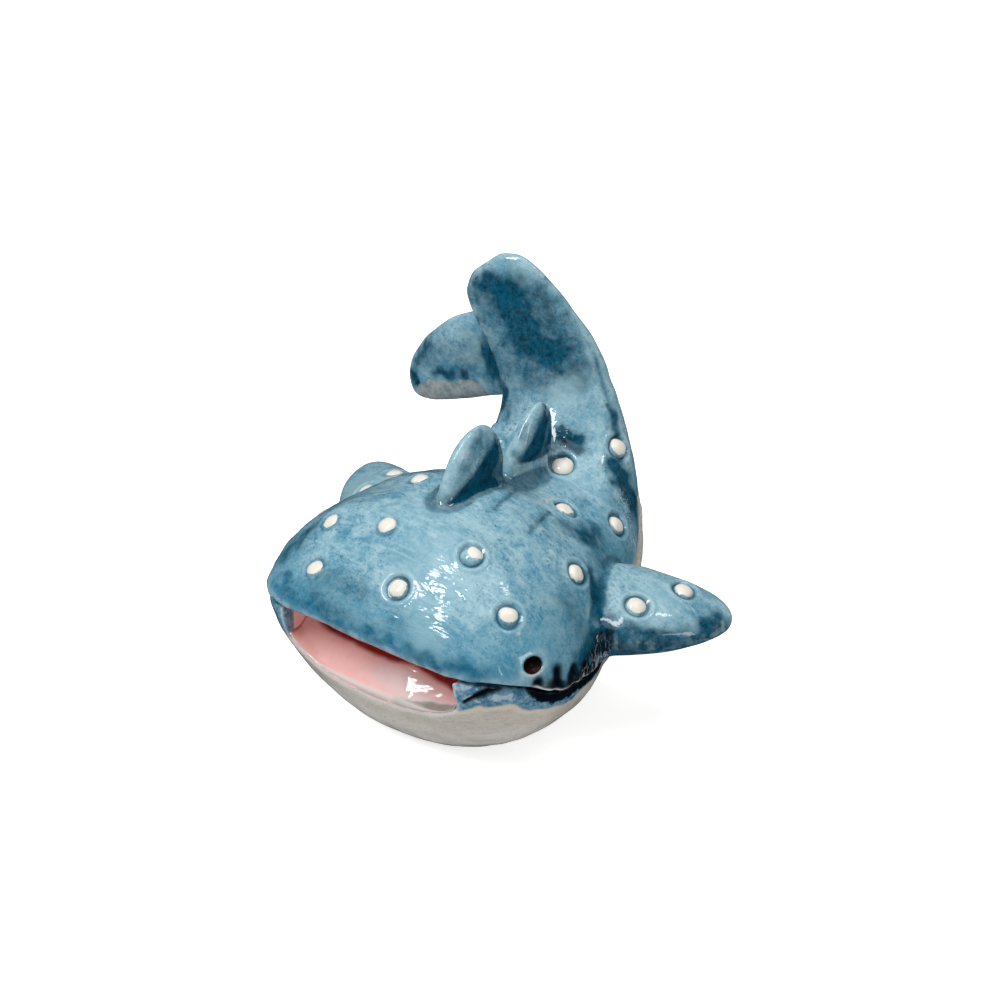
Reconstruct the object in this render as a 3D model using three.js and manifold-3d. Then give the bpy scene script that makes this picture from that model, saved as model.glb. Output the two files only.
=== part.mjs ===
// Whale shark ornament in cast resin: a back casting and a belly casting glued together
// along the mouth line, with the fins, tail fin, eyes, mouth lining and raised spots set
// into them. Nothing on it moves.
// Millimetres, +Z up. The nose points along -Y and the shark's left side is +X.
// The origin is the centre of the flat under the belly that the ornament rests on.
import * as THREE from "three";
import { mergeVertices } from "three/addons/utils/BufferGeometryUtils.js";
import Module from "manifold-3d";

const wasm = await Module();
wasm.setup();

// Room left for glue all round a piece that is set into another
const GLUE_GAP = 0.3;

// How far a cutting form reaches past what it cuts, and past the whole ornament
const OVERCUT = 1;
const FAR = 60;

// Overall sizes of the body form, without the fins
const BODY_LENGTH = 35.3;
const BODY_WIDTH = 33.2;
const BODY_HEIGHT = 34.9;

// Its shape, as sections from the lip to the tip of the tail, which the overall sizes then
// stretch to measure. Each has the middle of its widest line, the half width there, the
// height of the crown above that line and the depth of the keel below it. Pitch tips the
// section back as the tail rises, lean tips it towards the shark's right and turn swings
// it about the upright, all in degrees. A place on the body is given as a share of the way
// along the sections, u, and an angle round the section.
const SECTIONS = [
  { x: 0, y: -17.3, z: 13.9, half: 9.6, crown: 0.7, keel: 0.8, pitch: 0, lean: 0, turn: 0 },
  { x: 0, y: -16.6, z: 13.8, half: 11.8, crown: 2.8, keel: 6.2, pitch: 0, lean: 0, turn: 0 },
  { x: 0, y: -15.0, z: 13.5, half: 13.6, crown: 5.2, keel: 9.8, pitch: 0, lean: 0, turn: 0 },
  { x: 0, y: -12.0, z: 12.3, half: 15.3, crown: 8.8, keel: 11.8, pitch: 0, lean: 0, turn: 0 },
  { x: 0, y: -8.0, z: 10.3, half: 16.6, crown: 13.0, keel: 11.6, pitch: 0, lean: 0, turn: 0 },
  { x: 0, y: -2.0, z: 9.3, half: 16.0, crown: 14.2, keel: 10.9, pitch: 0, lean: 0, turn: 0 },
  { x: 0, y: 4.0, z: 10.1, half: 13.9, crown: 12.0, keel: 11.4, pitch: 6, lean: 0, turn: 0 },
  { x: -0.6, y: 10.0, z: 12.5, half: 11.2, crown: 8.6, keel: 10.2, pitch: 26, lean: 0, turn: 4 },
  { x: -1.6, y: 15.0, z: 16.9, half: 8.2, crown: 5.4, keel: 6.2, pitch: 56, lean: 4, turn: 12 },
  { x: -3.3, y: 17.4, z: 22.3, half: 6.0, crown: 3.4, keel: 4.0, pitch: 78, lean: 12, turn: 18 },
  { x: -5.7, y: 18.0, z: 27.3, half: 5.2, crown: 1.9, keel: 2.2, pitch: 88, lean: 24, turn: 22 },
  { x: -8.8, y: 17.8, z: 31.3, half: 4.6, crown: 1.3, keel: 1.4, pitch: 92, lean: 34, turn: 24 },
  { x: -11.3, y: 17.6, z: 33.9, half: 3.8, crown: 1.0, keel: 1.0, pitch: 94, lean: 40, turn: 24 },
  { x: -12.3, y: 17.5, z: 34.9, half: 2.0, crown: 0.5, keel: 0.5, pitch: 94, lean: 42, turn: 24 },
];
const BACK_POWER = 1.98;
const BELLY_POWER = 1.88;
const RINGS_PER_SECTION = 3;
const POINTS_AROUND = 44;

// The raised line along each flank
const RIDGE_HEIGHT = 0.4;
const RIDGE_ANGLE = 38;
const RIDGE_SPREAD = 7;
const RIDGE_FROM_SHARE = 0.38;
const RIDGE_TO_SHARE = 0.74;
const RIDGE_FADE_SHARE = 0.08;

// The shallow hollow down the front of the upper tail lobe
const HOLLOW_DEPTH = 0.55;
const HOLLOW_FROM_SHARE = 0.74;
const HOLLOW_TO_SHARE = 1;
const HOLLOW_SPREAD = 38;

// The belly casting sits back under the edge of the back casting at the jaw and stands
// proud of it behind the side fins. Towards the rear it leaves the widest line and tapers
// out under the tail.
const BELLY_OVERHANG = 0.5;
const BELLY_PROUD = 0.6;
const BELLY_PROUD_FROM_SHARE = 0.42;
const BELLY_PROUD_TO_SHARE = 0.52;
const BELLY_TAPER_FROM_SHARE = 0.5;
const BELLY_TAPER_TO_SHARE = 0.68;
const BELLY_TAPER_DROP_SHARE = 0.8;
const LOCATING_PEG_RADIUS = 2;
const LOCATING_PEG_HEIGHT = 3;
const LOCATING_PEG_SIDES = 16;
const LOCATING_PEG_SHARES = [0.335, 0.45];

// The tail fin is a casting of its own from here up. Each fin has a flat tongue that runs
// from inside the fin down into a slot.
const TAIL_JOINT_SHARE = 0.715;
const TENON_DEPTH = 2.2;
const TENON_ROOT = 1.5;
const TENON_SIDES = 12;
const TENON_ROUND = 0.6;
const TAIL_TENON_CHORD = 5;
const TAIL_TENON_THICK = 1.6;

// Mouth: a slot in the lower jaw under the lip, with a bowl for a lining glued in, which
// sits back from the lower lip
const MOUTH_HALF_WIDTH = 9.9;
const MOUTH_MIDDLE = 0.2;
const MOUTH_END_HEIGHT = 3.1;
const MOUTH_MID_HEIGHT = 6.1;
const MOUTH_DEPTH = 6.4;
const LINING_WALL = 0.5;
const LINING_SETBACK = 0.2;
const SCOOP_RINGS = 6;
const SCOOP_POWER = 1.25;
const MOUTH_SEGMENTS = 24;

// Eyes and gill slits, on both sides of the head
const EYE_RADIUS = 0.9;
const EYE_PLACE = { u: 0.252, angle: 16 };
const PLUG_DEPTH = 0.9;
const PLUG_SIDES = 12;
const EYE_DISH = 0.45;
const EYE_RIM_DROP = 0.05;
const GILL_WIDTH = 0.55;
const GILL_DEPTH = 0.35;
const GILLS = [
  { u: 0.244, angle: 4, length: 1.2 },
  { u: 0.284, angle: 7, length: 2.4 },
  { u: 0.324, angle: 7, length: 2.0 },
  { u: 0.352, angle: 6, length: 1.8 },
];

// Spots: a low bead standing in a ring-shaped socket
const SPOT_RADIUS = 1.05;
const SPOT_RISE = 0.3;
const BACK_SPOTS = [
  { u: 0.16, angle: 124 },
  { u: 0.176, angle: 82 },
  { u: 0.26, angle: 41 },
  { u: 0.268, angle: 126 },
  { u: 0.272, angle: 100 },
  { u: 0.292, angle: 67 },
  { u: 0.33, angle: 145 },
  { u: 0.38, angle: 108 },
  { u: 0.408, angle: 38 },
  { u: 0.425, angle: 138 },
  { u: 0.505, angle: 122 },
  { u: 0.524, angle: 58 },
  { u: 0.56, angle: 24 },
  { u: 0.565, angle: 154 },
  { u: 0.616, angle: 71 },
  { u: 0.63, angle: 130 },
  { u: 0.648, angle: 19 },
  { u: 0.655, angle: 160 },
];
const FIN_SPOTS_LEFT = [
  { s: 0.4, c: -0.1 },
  { s: 0.55, c: 0.52 },
];
const FIN_SPOTS_RIGHT = [
  { s: 0.38, c: -0.05 },
  { s: 0.32, c: 0.6 },
];

// Fins. Each starts at a place on the body, sunk below the skin along its axis. Lead and
// trail are the reach of the two edges from the axis at the root, and the powers say how
// full each edge runs before it rounds off at the tip. Sweep carries the tip backwards and
// arch the middle. Offset moves the whole fin off its starting place.
const PECTORAL = {
  u: 0.425, angle: 12, sink: 3.4, axis: [1, 0, -0.32], face: [0.1, -0.12, 1],
  span: 11.6, lead: 7.4, trail: 7.0, leadPower: 1.5, trailPower: 2.0, sweep: 8.0,
  thick: 5.1, tipShare: 0.72, tenonChord: 6, tenonThick: 2.2,
};
const PECTORAL_RIGHT = { ...PECTORAL, span: 11.0, trail: 6.2 };
const DORSAL_FRONT = {
  u: 0.395, angle: 90, sink: 2.6, axis: [0, 0.1, 1], face: [-1, 0, 0],
  span: 8.5, lead: 5.0, trail: 5.4, leadPower: 1.7, trailPower: 1.8, sweep: 0.8,
  thick: 3.0, tipShare: 0.75, tenonChord: 4, tenonThick: 1.4,
};
const DORSAL_REAR = {
  u: 0.555, angle: 90, sink: 2.6, axis: [0, 0.16, 1], face: [-1, 0, 0],
  span: 10.0, lead: 3.5, trail: 3.8, leadPower: 1.7, trailPower: 2.6, sweep: 2.1,
  thick: 3.0, tipShare: 0.75, tenonChord: 3, tenonThick: 1.4,
};
const TAIL_LOWER_LOBE = {
  u: TAIL_JOINT_SHARE + 0.05, sink: -2.4, axis: [-1, -0.17, -0.36], face: [0.3, -0.92, 0.25],
  span: 14.2, lead: 4.8, trail: 3.7, leadPower: 2.4, trailPower: 2.9, sweep: 1.7,
  thick: 3.4, tipShare: 0.7, arch: -0.95, offset: [-0.67, 0.86, -0.71],
};
const FIN_RINGS = 12;
const FIN_POINTS = 20;
const FIN_END_SHARE = 0.99;
const FIN_EDGE_ROUND = 0.9;

const BLUE = 0x4a7d9f;
const GREY = 0xb4b0a9;
const PINK = 0xd88c88;
const CREAM = 0xe8e1d2;
const BLACK = 0x16151a;
const LACQUER = 0.3;

function power(value, exponent) {
  return Math.sign(value) * Math.pow(Math.abs(value), exponent);
}

function vector(list) {
  return new THREE.Vector3().fromArray(list);
}

// Evenly spread angles of one full turn
function turnAngles(count) {
  return Array.from({ length: count }, (_, i) => (2 * Math.PI * i) / count);
}

// Joins rings of points into a closed form with a fan over each end.
function loft(rings) {
  const around = rings[0].length;
  const points = rings.flat();
  const index = [];
  for (let r = 0; r + 1 < rings.length; r += 1) {
    for (let i = 0; i < around; i += 1) {
      const a = r * around + i;
      const b = r * around + ((i + 1) % around);
      index.push(a, b, b + around, a, b + around, a + around);
    }
  }
  for (const r of [0, rings.length - 1]) {
    const hub = points.length;
    const middle = rings[r].reduce((sum, point) => sum.add(point), new THREE.Vector3());
    points.push(middle.divideScalar(around));
    for (let i = 0; i < around; i += 1) {
      const a = r * around + i;
      const b = r * around + ((i + 1) % around);
      index.push(...(r === 0 ? [hub, b, a] : [hub, a, b]));
    }
  }
  let volume = 0;
  for (let t = 0; t < index.length; t += 3) {
    const [a, b, c] = [0, 1, 2].map((k) => points[index[t + k]]);
    volume += a.dot(b.clone().cross(c));
  }
  if (volume < 0) {
    index.reverse();
  }
  return new THREE.BufferGeometry().setFromPoints(points).setIndex(index);
}

function solid(geometry) {
  const bare = geometry.clone();
  bare.deleteAttribute("normal");
  bare.deleteAttribute("uv");
  const merged = mergeVertices(bare, 1e-4);
  return new wasm.Manifold(new wasm.Mesh({
    numProp: 3,
    vertProperties: Float32Array.from(merged.attributes.position.array),
    triVerts: Uint32Array.from(merged.index.array),
  }));
}

function largest(made) {
  return made.decompose().sort((a, b) => b.volume() - a.volume())[0];
}

function cutAll(made, cuts) {
  return cuts.reduce((left, cut) => left.subtract(cut), made);
}

// The body form: smooth curves through the sections, stretched to the overall sizes
function highest(key) {
  return Math.max(...SECTIONS.map((section) => section[key]));
}

const long = BODY_LENGTH / (highest("y") - SECTIONS[0].y);
const wide = BODY_WIDTH / (2 * highest("half"));
const tall = BODY_HEIGHT / highest("z");
const stretch = { x: wide, y: long, z: tall, half: wide, crown: tall, keel: tall };

function line(...keys) {
  const points = SECTIONS.map((section) => vector(keys.map((key) => section[key] * (stretch[key] ?? 1))));
  return new THREE.CatmullRomCurve3(points, false, "centripetal");
}

const centreLine = line("x", "y", "z");
const sizeLine = line("half", "crown", "keel");
const angleLine = line("pitch", "lean", "turn");

function frameAt(u) {
  const [pitch, lean, turn] = angleLine.getPoint(u).toArray().map(THREE.MathUtils.degToRad);
  const [half, crown, keel] = sizeLine.getPoint(u).toArray();
  const swing = new THREE.Matrix4().makeRotationZ(turn);
  const side = vector([Math.cos(lean), 0, Math.sin(lean)]).applyMatrix4(swing);
  const rise = vector([-Math.sin(lean), 0, Math.cos(lean)]).multiplyScalar(Math.sin(pitch));
  const along = rise.add(vector([0, Math.cos(pitch), 0])).applyMatrix4(swing);
  const dorsal = side.clone().cross(along);
  return { u, centre: centreLine.getPoint(u), half, crown, keel, side, along, dorsal };
}

function inFrame(frame, across, up, forward = 0) {
  return frame.centre.clone().addScaledVector(frame.side, across)
    .addScaledVector(frame.dorsal, up).addScaledVector(frame.along, forward);
}

// Height of the flank ridges and of the hollow in the tail lobe above the plain section
function relief(u, angle) {
  const { smoothstep, radToDeg } = THREE.MathUtils;
  const degrees = radToDeg(angle);
  const fromRidge = Math.min(Math.abs(degrees - RIDGE_ANGLE), Math.abs(180 - degrees - RIDGE_ANGLE));
  const rise = smoothstep(u, RIDGE_FROM_SHARE, RIDGE_FROM_SHARE + RIDGE_FADE_SHARE);
  const fall = 1 - smoothstep(u, RIDGE_TO_SHARE - RIDGE_FADE_SHARE, RIDGE_TO_SHARE);
  const ridge = RIDGE_HEIGHT * rise * fall * Math.exp(-((fromRidge / RIDGE_SPREAD) ** 2));
  const run = THREE.MathUtils.clamp((u - HOLLOW_FROM_SHARE) / (HOLLOW_TO_SHARE - HOLLOW_FROM_SHARE), 0, 1);
  const acrossHollow = Math.exp(-(((degrees - 90) / HOLLOW_SPREAD) ** 2));
  return ridge - HOLLOW_DEPTH * Math.sin(Math.PI * run) ** 2 * acrossHollow;
}

function skinPoint(frame, angle, grow = 0) {
  const upper = Math.sin(angle) > 0;
  const bulge = grow + relief(frame.u, angle);
  const round = 2 / (upper ? BACK_POWER : BELLY_POWER);
  return inFrame(frame, (frame.half + bulge) * power(Math.cos(angle), round),
    ((upper ? frame.crown : frame.keel) + bulge) * power(Math.sin(angle), round));
}

function skinPlace(u, degrees) {
  const angle = THREE.MathUtils.degToRad(degrees);
  const step = 0.004;
  const point = skinPoint(frameAt(u), angle);
  const back = skinPoint(frameAt(u + step), angle).sub(skinPoint(frameAt(u - step), angle));
  const round = skinPoint(frameAt(u), angle + step).sub(skinPoint(frameAt(u), angle - step));
  return { point, normal: back.cross(round).normalize(), round: round.normalize() };
}

const ringCount = (SECTIONS.length - 1) * RINGS_PER_SECTION;
const frames = Array.from({ length: ringCount + 1 }, (_, i) => frameAt(i / ringCount));

function bodyForm(growAt) {
  const angles = turnAngles(POINTS_AROUND);
  const ring = (frame) => angles.map((angle) => skinPoint(frame, angle, growAt(frame.u)));
  return solid(loft(frames.map(ring)));
}

// How far the belly stands out of the body form
function bellyStep(u) {
  const { lerp, smoothstep } = THREE.MathUtils;
  return lerp(-BELLY_OVERHANG, BELLY_PROUD, smoothstep(u, BELLY_PROUD_FROM_SHARE, BELLY_PROUD_TO_SHARE));
}

const body = bodyForm(() => 0);
const bodyWithGlue = bodyForm(() => GLUE_GAP);

// Four corners of a cutting form's section
function corners(frame, across, top, bottom, forward) {
  return [[across, top], [-across, top], [-across, bottom], [across, bottom]]
    .map(([side, up]) => inFrame(frame, side, up, forward));
}

// Everything below the parting face, which follows the widest line of the sections
function belowParting(lift) {
  const used = frames.filter((frame) => frame.u <= BELLY_TAPER_TO_SHARE);
  return solid(loft(used.map((frame, i) => {
    const taper = THREE.MathUtils.smoothstep(frame.u, BELLY_TAPER_FROM_SHARE, BELLY_TAPER_TO_SHARE);
    const top = lift - BELLY_TAPER_DROP_SHARE * frame.keel * taper;
    const bottom = -frame.keel - BELLY_PROUD - OVERCUT;
    return corners(frame, frame.half + BELLY_PROUD + OVERCUT, top, bottom, i === 0 ? -OVERCUT : 0);
  })));
}

const underFloor = solid(new THREE.BoxGeometry(2 * FAR, 2 * FAR, FAR).translate(0, 0, -FAR / 2));

// Everything beyond the joint of the tail fin
function beyondTailJoint(lift) {
  const frame = frameAt(TAIL_JOINT_SHARE);
  const reach = frame.half + 4 * frame.crown;
  return solid(loft([lift, FAR].map((forward) => corners(frame, reach, reach, -reach, forward))));
}

// Fins: one that names no angle on the skin starts from the middle of the body
function finFrame(fin) {
  const axis = vector(fin.axis).normalize();
  const chord = vector(fin.face).cross(axis).normalize();
  const face = axis.clone().cross(chord);
  const onSkin = fin.angle !== undefined;
  const start = onSkin ? skinPlace(fin.u, fin.angle).point : centreLine.getPoint(fin.u);
  const root = start.addScaledVector(axis, -fin.sink).add(vector(fin.offset ?? [0, 0, 0]));
  return { axis, chord, face, root };
}

function finPoint(fin, frame, s, angle) {
  const trailing = Math.cos(angle) > 0;
  const edge = trailing ? fin.trail : fin.lead;
  const reach = edge * Math.sqrt(1 - s ** (trailing ? fin.trailPower : fin.leadPower));
  const half = 0.5 * fin.thick * (1 + (fin.tipShare - 1) * s) * Math.sqrt(1 - s ** 4);
  const carry = fin.sweep * s + 4 * (fin.arch ?? 0) * s * (1 - s);
  return frame.root.clone().addScaledVector(frame.axis, fin.span * s)
    .addScaledVector(frame.chord, carry + reach * power(Math.cos(angle), FIN_EDGE_ROUND))
    .addScaledVector(frame.face, half * power(Math.sin(angle), FIN_EDGE_ROUND));
}

// The rings stand closer together towards the tip
function finForm(fin) {
  const frame = finFrame(fin);
  const angles = turnAngles(FIN_POINTS);
  return solid(loft(Array.from({ length: FIN_RINGS }, (_, i) => {
    const s = FIN_END_SHARE * Math.sin((i / (FIN_RINGS - 1)) * (Math.PI / 2));
    return angles.map((angle) => finPoint(fin, frame, s, angle));
  })));
}

function finPlace(fin, s, c) {
  const frame = finFrame(fin);
  const angle = Math.acos(c);
  const step = 0.01;
  const point = finPoint(fin, frame, s, angle);
  const outward = finPoint(fin, frame, s + step, angle).sub(finPoint(fin, frame, s - step, angle));
  const round = finPoint(fin, frame, s, angle + step).sub(finPoint(fin, frame, s, angle - step));
  return { point, normal: round.cross(outward).normalize() };
}

// The flat tongue under a fin, and with grow the slot it is glued into
function tenon(place, axis, chord, chordSize, thickSize, grow) {
  const face = axis.clone().cross(chord).normalize();
  const angles = turnAngles(TENON_SIDES);
  return solid(loft([-TENON_DEPTH - grow, TENON_ROOT].map((height) => angles.map((angle) =>
    place.clone().addScaledVector(axis, height)
      .addScaledVector(chord, (chordSize / 2 + grow) * power(Math.cos(angle), TENON_ROUND))
      .addScaledVector(face, (thickSize / 2 + grow) * power(Math.sin(angle), TENON_ROUND))))));
}

function finTenon(fin, grow) {
  const { axis, chord } = finFrame(fin);
  return tenon(skinPlace(fin.u, fin.angle).point, axis, chord, fin.tenonChord, fin.tenonThick, grow);
}

const asIs = (made) => made;
const onTheRight = (made) => made.mirror([1, 0, 0]);

const bellyWithGlue = bodyForm((u) => bellyStep(u) + GLUE_GAP).intersect(belowParting(GLUE_GAP));

function gluedFin(fin, side = asIs) {
  const outside = cutAll(side(finForm(fin)), [bodyWithGlue, bellyWithGlue]);
  return largest(outside).add(side(finTenon(fin, 0)));
}

// Small round pieces that are set into a surface: the profile runs from its middle out
function turned(profile, place) {
  const points = profile.map(([radius, height]) => new THREE.Vector2(radius, height));
  const turn = new THREE.Quaternion().setFromUnitVectors(vector([0, 1, 0]), place.normal);
  const shape = new THREE.LatheGeometry(points, PLUG_SIDES).applyQuaternion(turn);
  return solid(shape.translate(...place.point.toArray()));
}

function plugSocket(radius, place) {
  const wide = radius + GLUE_GAP;
  const deep = -PLUG_DEPTH - GLUE_GAP;
  return turned([[0, deep], [wide, deep], [wide, OVERCUT], [0, OVERCUT]], place);
}

function spotBead(place) {
  return turned([
    [0, -PLUG_DEPTH],
    [SPOT_RADIUS, -PLUG_DEPTH],
    [SPOT_RADIUS, SPOT_RISE * 0.3],
    [SPOT_RADIUS * 0.65, SPOT_RISE * 0.85],
    [0, SPOT_RISE],
  ], place);
}

function eyePlug(place) {
  return turned([
    [0, -PLUG_DEPTH],
    [EYE_RADIUS, -PLUG_DEPTH],
    [EYE_RADIUS, -EYE_RIM_DROP],
    [EYE_RADIUS * 0.8, -EYE_RIM_DROP],
    [EYE_RADIUS * 0.45, -EYE_DISH * 0.85],
    [0, -EYE_DISH],
  ], place);
}

function gillCut(gill) {
  const place = skinPlace(gill.u, gill.angle);
  const shape = new THREE.SphereGeometry(1, 8, 6).scale(gill.length / 2, GILL_WIDTH / 2, GILL_DEPTH);
  const across = place.normal.clone().cross(place.round);
  const turn = new THREE.Matrix4().makeBasis(place.round, across, place.normal);
  return solid(shape.applyMatrix4(turn).translate(...place.point.toArray()));
}

// The outline of the mouth at a depth behind the lip: a level top and a rounded lower lip,
// with its floor raised by a share of the way to the lip
function mouthRing(depth, inset, raised) {
  const lip = centreLine.getPoint(0);
  const wide = MOUTH_HALF_WIDTH - inset;
  const sag = MOUTH_MID_HEIGHT - MOUTH_END_HEIGHT;
  const lower = Array.from({ length: MOUTH_SEGMENTS + 1 }, (_, i) => {
    const angle = (Math.PI * i) / MOUTH_SEGMENTS;
    const floor = MOUTH_END_HEIGHT + sag * Math.sin(angle) - inset;
    return [wide * Math.cos(angle), floor * (raised - 1)];
  });
  const outline = [[-wide, OVERCUT], [wide, OVERCUT], ...lower];
  return outline.map(([side, up]) => vector([MOUTH_MIDDLE + side, lip.y + depth, lip.z + up]));
}

function mouthSlot(inset) {
  return solid(loft([mouthRing(-OVERCUT, inset, 0), mouthRing(MOUTH_DEPTH - inset, inset, 0)]));
}

// The space over the lining, whose floor climbs from the lower lip to the back of the slot
function mouthScoop() {
  const inset = GLUE_GAP + LINING_WALL;
  const rings = Array.from({ length: SCOOP_RINGS + 1 }, (_, i) => {
    const share = i / SCOOP_RINGS;
    return mouthRing(MOUTH_DEPTH * share, inset, share ** SCOOP_POWER);
  });
  return solid(loft([mouthRing(-OVERCUT, inset, 0), ...rings]));
}

// Round pegs on the belly casting that find their holes in the back casting
function locatingPegs(grow) {
  const radius = LOCATING_PEG_RADIUS + grow;
  const tall = 2 * (LOCATING_PEG_HEIGHT + grow);
  const pegs = LOCATING_PEG_SHARES.map((u) => {
    const peg = new THREE.CylinderGeometry(radius, radius, tall, LOCATING_PEG_SIDES);
    return solid(peg.rotateX(Math.PI / 2).translate(...centreLine.getPoint(u).toArray()));
  });
  return pegs.reduce((all, peg) => all.add(peg));
}

const group = new THREE.Group();

function add(name, made, color, roughness) {
  const mesh = made.getMesh();
  const points = new THREE.BufferAttribute(Float32Array.from(mesh.vertProperties), 3);
  const geometry = new THREE.BufferGeometry().setAttribute("position", points);
  geometry.setIndex(Array.from(mesh.triVerts));
  const node = new THREE.Mesh(geometry, new THREE.MeshStandardMaterial({ color, roughness }));
  node.name = name;
  group.add(node);
}

// The same place on the other side of the body
function mirrored(place) {
  const flip = vector([-1, 1, 1]);
  return { point: place.point.clone().multiply(flip), normal: place.normal.clone().multiply(flip) };
}

const eyePlaces = { left: skinPlace(EYE_PLACE.u, EYE_PLACE.angle) };
eyePlaces.right = mirrored(eyePlaces.left);
const backSpots = BACK_SPOTS.map((spot) => skinPlace(spot.u, spot.angle));
const finSpots = {
  left: FIN_SPOTS_LEFT.map((spot) => finPlace(PECTORAL, spot.s, spot.c)),
  right: FIN_SPOTS_RIGHT.map((spot) => mirrored(finPlace(PECTORAL_RIGHT, spot.s, spot.c))),
};
const gillCuts = GILLS.map(gillCut);

function tailTenon(grow) {
  const { centre, along, side } = frameAt(TAIL_JOINT_SHARE);
  return tenon(centre, along, side, TAIL_TENON_CHORD, TAIL_TENON_THICK, grow);
}

// Back casting, with the sockets for everything that is glued into it
const back = cutAll(body.subtract(belowParting(GLUE_GAP / 2)), [
  beyondTailJoint(-GLUE_GAP / 2),
  tailTenon(GLUE_GAP),
  locatingPegs(GLUE_GAP),
  finTenon(PECTORAL, GLUE_GAP),
  onTheRight(finTenon(PECTORAL_RIGHT, GLUE_GAP)),
  finTenon(DORSAL_FRONT, GLUE_GAP),
  finTenon(DORSAL_REAR, GLUE_GAP),
  ...gillCuts,
  ...gillCuts.map(onTheRight),
  ...Object.values(eyePlaces).map((place) => plugSocket(EYE_RADIUS, place)),
  ...backSpots.map((place) => plugSocket(SPOT_RADIUS, place)),
]);
add("back_casting", largest(back), BLUE, LACQUER);

// Belly casting with the flat it rests on, its pegs and the mouth slot
const bellyForm = bodyForm(bellyStep);
const belly = bellyForm.intersect(belowParting(-GLUE_GAP / 2)).add(locatingPegs(0));
add("belly_casting", largest(cutAll(belly, [underFloor, mouthSlot(0)])), GREY, LACQUER);
const liningBlock = mouthSlot(GLUE_GAP)
  .intersect(bellyForm.translate([0, LINING_SETBACK, 0]))
  .intersect(belowParting(-GLUE_GAP / 2));
add("mouth_lining", largest(liningBlock.subtract(mouthScoop())), PINK, LACQUER);

// Tail fin: the upper lobe carries on from the tail, the lower lobe branches off behind it
const stem = bodyWithGlue.subtract(beyondTailJoint(GLUE_GAP / 2));
const upperLobe = body.intersect(beyondTailJoint(GLUE_GAP / 2)).add(tailTenon(0));
add("tail_fin", largest(finForm(TAIL_LOWER_LOBE).subtract(stem).add(upperLobe)), BLUE, LACQUER);

add("dorsal_fin_front", gluedFin(DORSAL_FRONT), BLUE, LACQUER);
add("dorsal_fin_rear", gluedFin(DORSAL_REAR), BLUE, LACQUER);

for (const [side, places] of Object.entries(finSpots)) {
  const fin = side === "left" ? gluedFin(PECTORAL) : gluedFin(PECTORAL_RIGHT, onTheRight);
  const sockets = places.map((place) => plugSocket(SPOT_RADIUS, place));
  add(`pectoral_fin_${side}`, cutAll(fin, sockets), BLUE, LACQUER);
  places.forEach((place, i) => add(`fin_spot_${side}_${i + 1}`, spotBead(place), CREAM, LACQUER));
  add(`eye_${side}`, eyePlug(eyePlaces[side]), BLACK, LACQUER);
}
backSpots.forEach((place, i) => {
  const number = String(i + 1).padStart(2, "0");
  add(`back_spot_${number}`, spotBead(place), CREAM, LACQUER);
});

export default group;
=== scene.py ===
"""Looks of a small lacquered whale shark ornament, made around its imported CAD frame."""

import math

import bpy
import numpy as np
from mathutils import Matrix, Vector
from mathutils.bvhtree import BVHTree


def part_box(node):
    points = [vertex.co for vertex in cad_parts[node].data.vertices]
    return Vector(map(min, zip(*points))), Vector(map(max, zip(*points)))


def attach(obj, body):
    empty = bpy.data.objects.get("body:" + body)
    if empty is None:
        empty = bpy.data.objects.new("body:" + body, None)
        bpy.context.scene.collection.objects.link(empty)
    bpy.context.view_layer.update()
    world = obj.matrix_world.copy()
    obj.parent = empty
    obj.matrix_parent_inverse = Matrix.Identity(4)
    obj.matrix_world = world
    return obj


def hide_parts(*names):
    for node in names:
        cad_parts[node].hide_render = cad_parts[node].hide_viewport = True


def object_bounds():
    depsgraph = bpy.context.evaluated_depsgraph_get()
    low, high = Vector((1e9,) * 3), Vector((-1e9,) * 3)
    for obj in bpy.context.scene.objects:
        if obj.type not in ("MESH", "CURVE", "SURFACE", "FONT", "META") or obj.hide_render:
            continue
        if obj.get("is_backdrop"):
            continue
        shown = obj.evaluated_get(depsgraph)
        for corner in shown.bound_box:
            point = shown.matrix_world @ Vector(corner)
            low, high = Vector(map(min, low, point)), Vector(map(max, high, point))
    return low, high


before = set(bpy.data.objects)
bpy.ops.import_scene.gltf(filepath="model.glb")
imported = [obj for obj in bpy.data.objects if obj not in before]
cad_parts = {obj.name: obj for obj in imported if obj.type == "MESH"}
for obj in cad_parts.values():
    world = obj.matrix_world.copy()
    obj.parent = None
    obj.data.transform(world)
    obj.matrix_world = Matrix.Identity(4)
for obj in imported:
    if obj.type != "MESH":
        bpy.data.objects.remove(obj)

bl_info = {
    "name": "Whale shark ornament",
    "version": (1, 0, 0),
    "blender": (4, 5, 0),
    "location": "View3D > Sidebar > Ornament",
    "description": "Makes a lacquered resin whale shark with mottled paint around its CAD frame",
    "category": "Object",
}

# Millimetres in a metre: shapes are worked in millimetres and set down in metres
MM = 1000

BODY = "root"

FINS = ("dorsal_fin_front", "dorsal_fin_rear", "pectoral_fin_left", "pectoral_fin_right")
SKIN_NODES = ("back_casting", "tail_fin") + FINS
BACK_SPOTS = tuple(f"back_spot_{i:02d}" for i in range(1, 19))
FIN_SPOTS = tuple(f"fin_spot_{side}_{i}" for side in ("left", "right") for i in (1, 2))
SPOTS = BACK_SPOTS + FIN_SPOTS
EYES = ("eye_left", "eye_right")

# How deep the CAD plugs reach below the skin
PLUG_DEPTH = 0.9

# Spacing of the grid for which rounds of smoothing are counted
COUNTED_GRID = 0.17

# How far off the body a tongue's glue gap is looked for, and how far fins are pushed in to close it
GLUE_REACH = 0.45
PUSHES = (0.0, 0.35, 0.7)

# Radius and height of the round filling of the sockets below spots and eyes
SOCKET_FILL = ((1.5, -1.4), (1.5, 0.0))

# How far from a CAD node its distance still counts
NODE_REACH = 3.0

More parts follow.
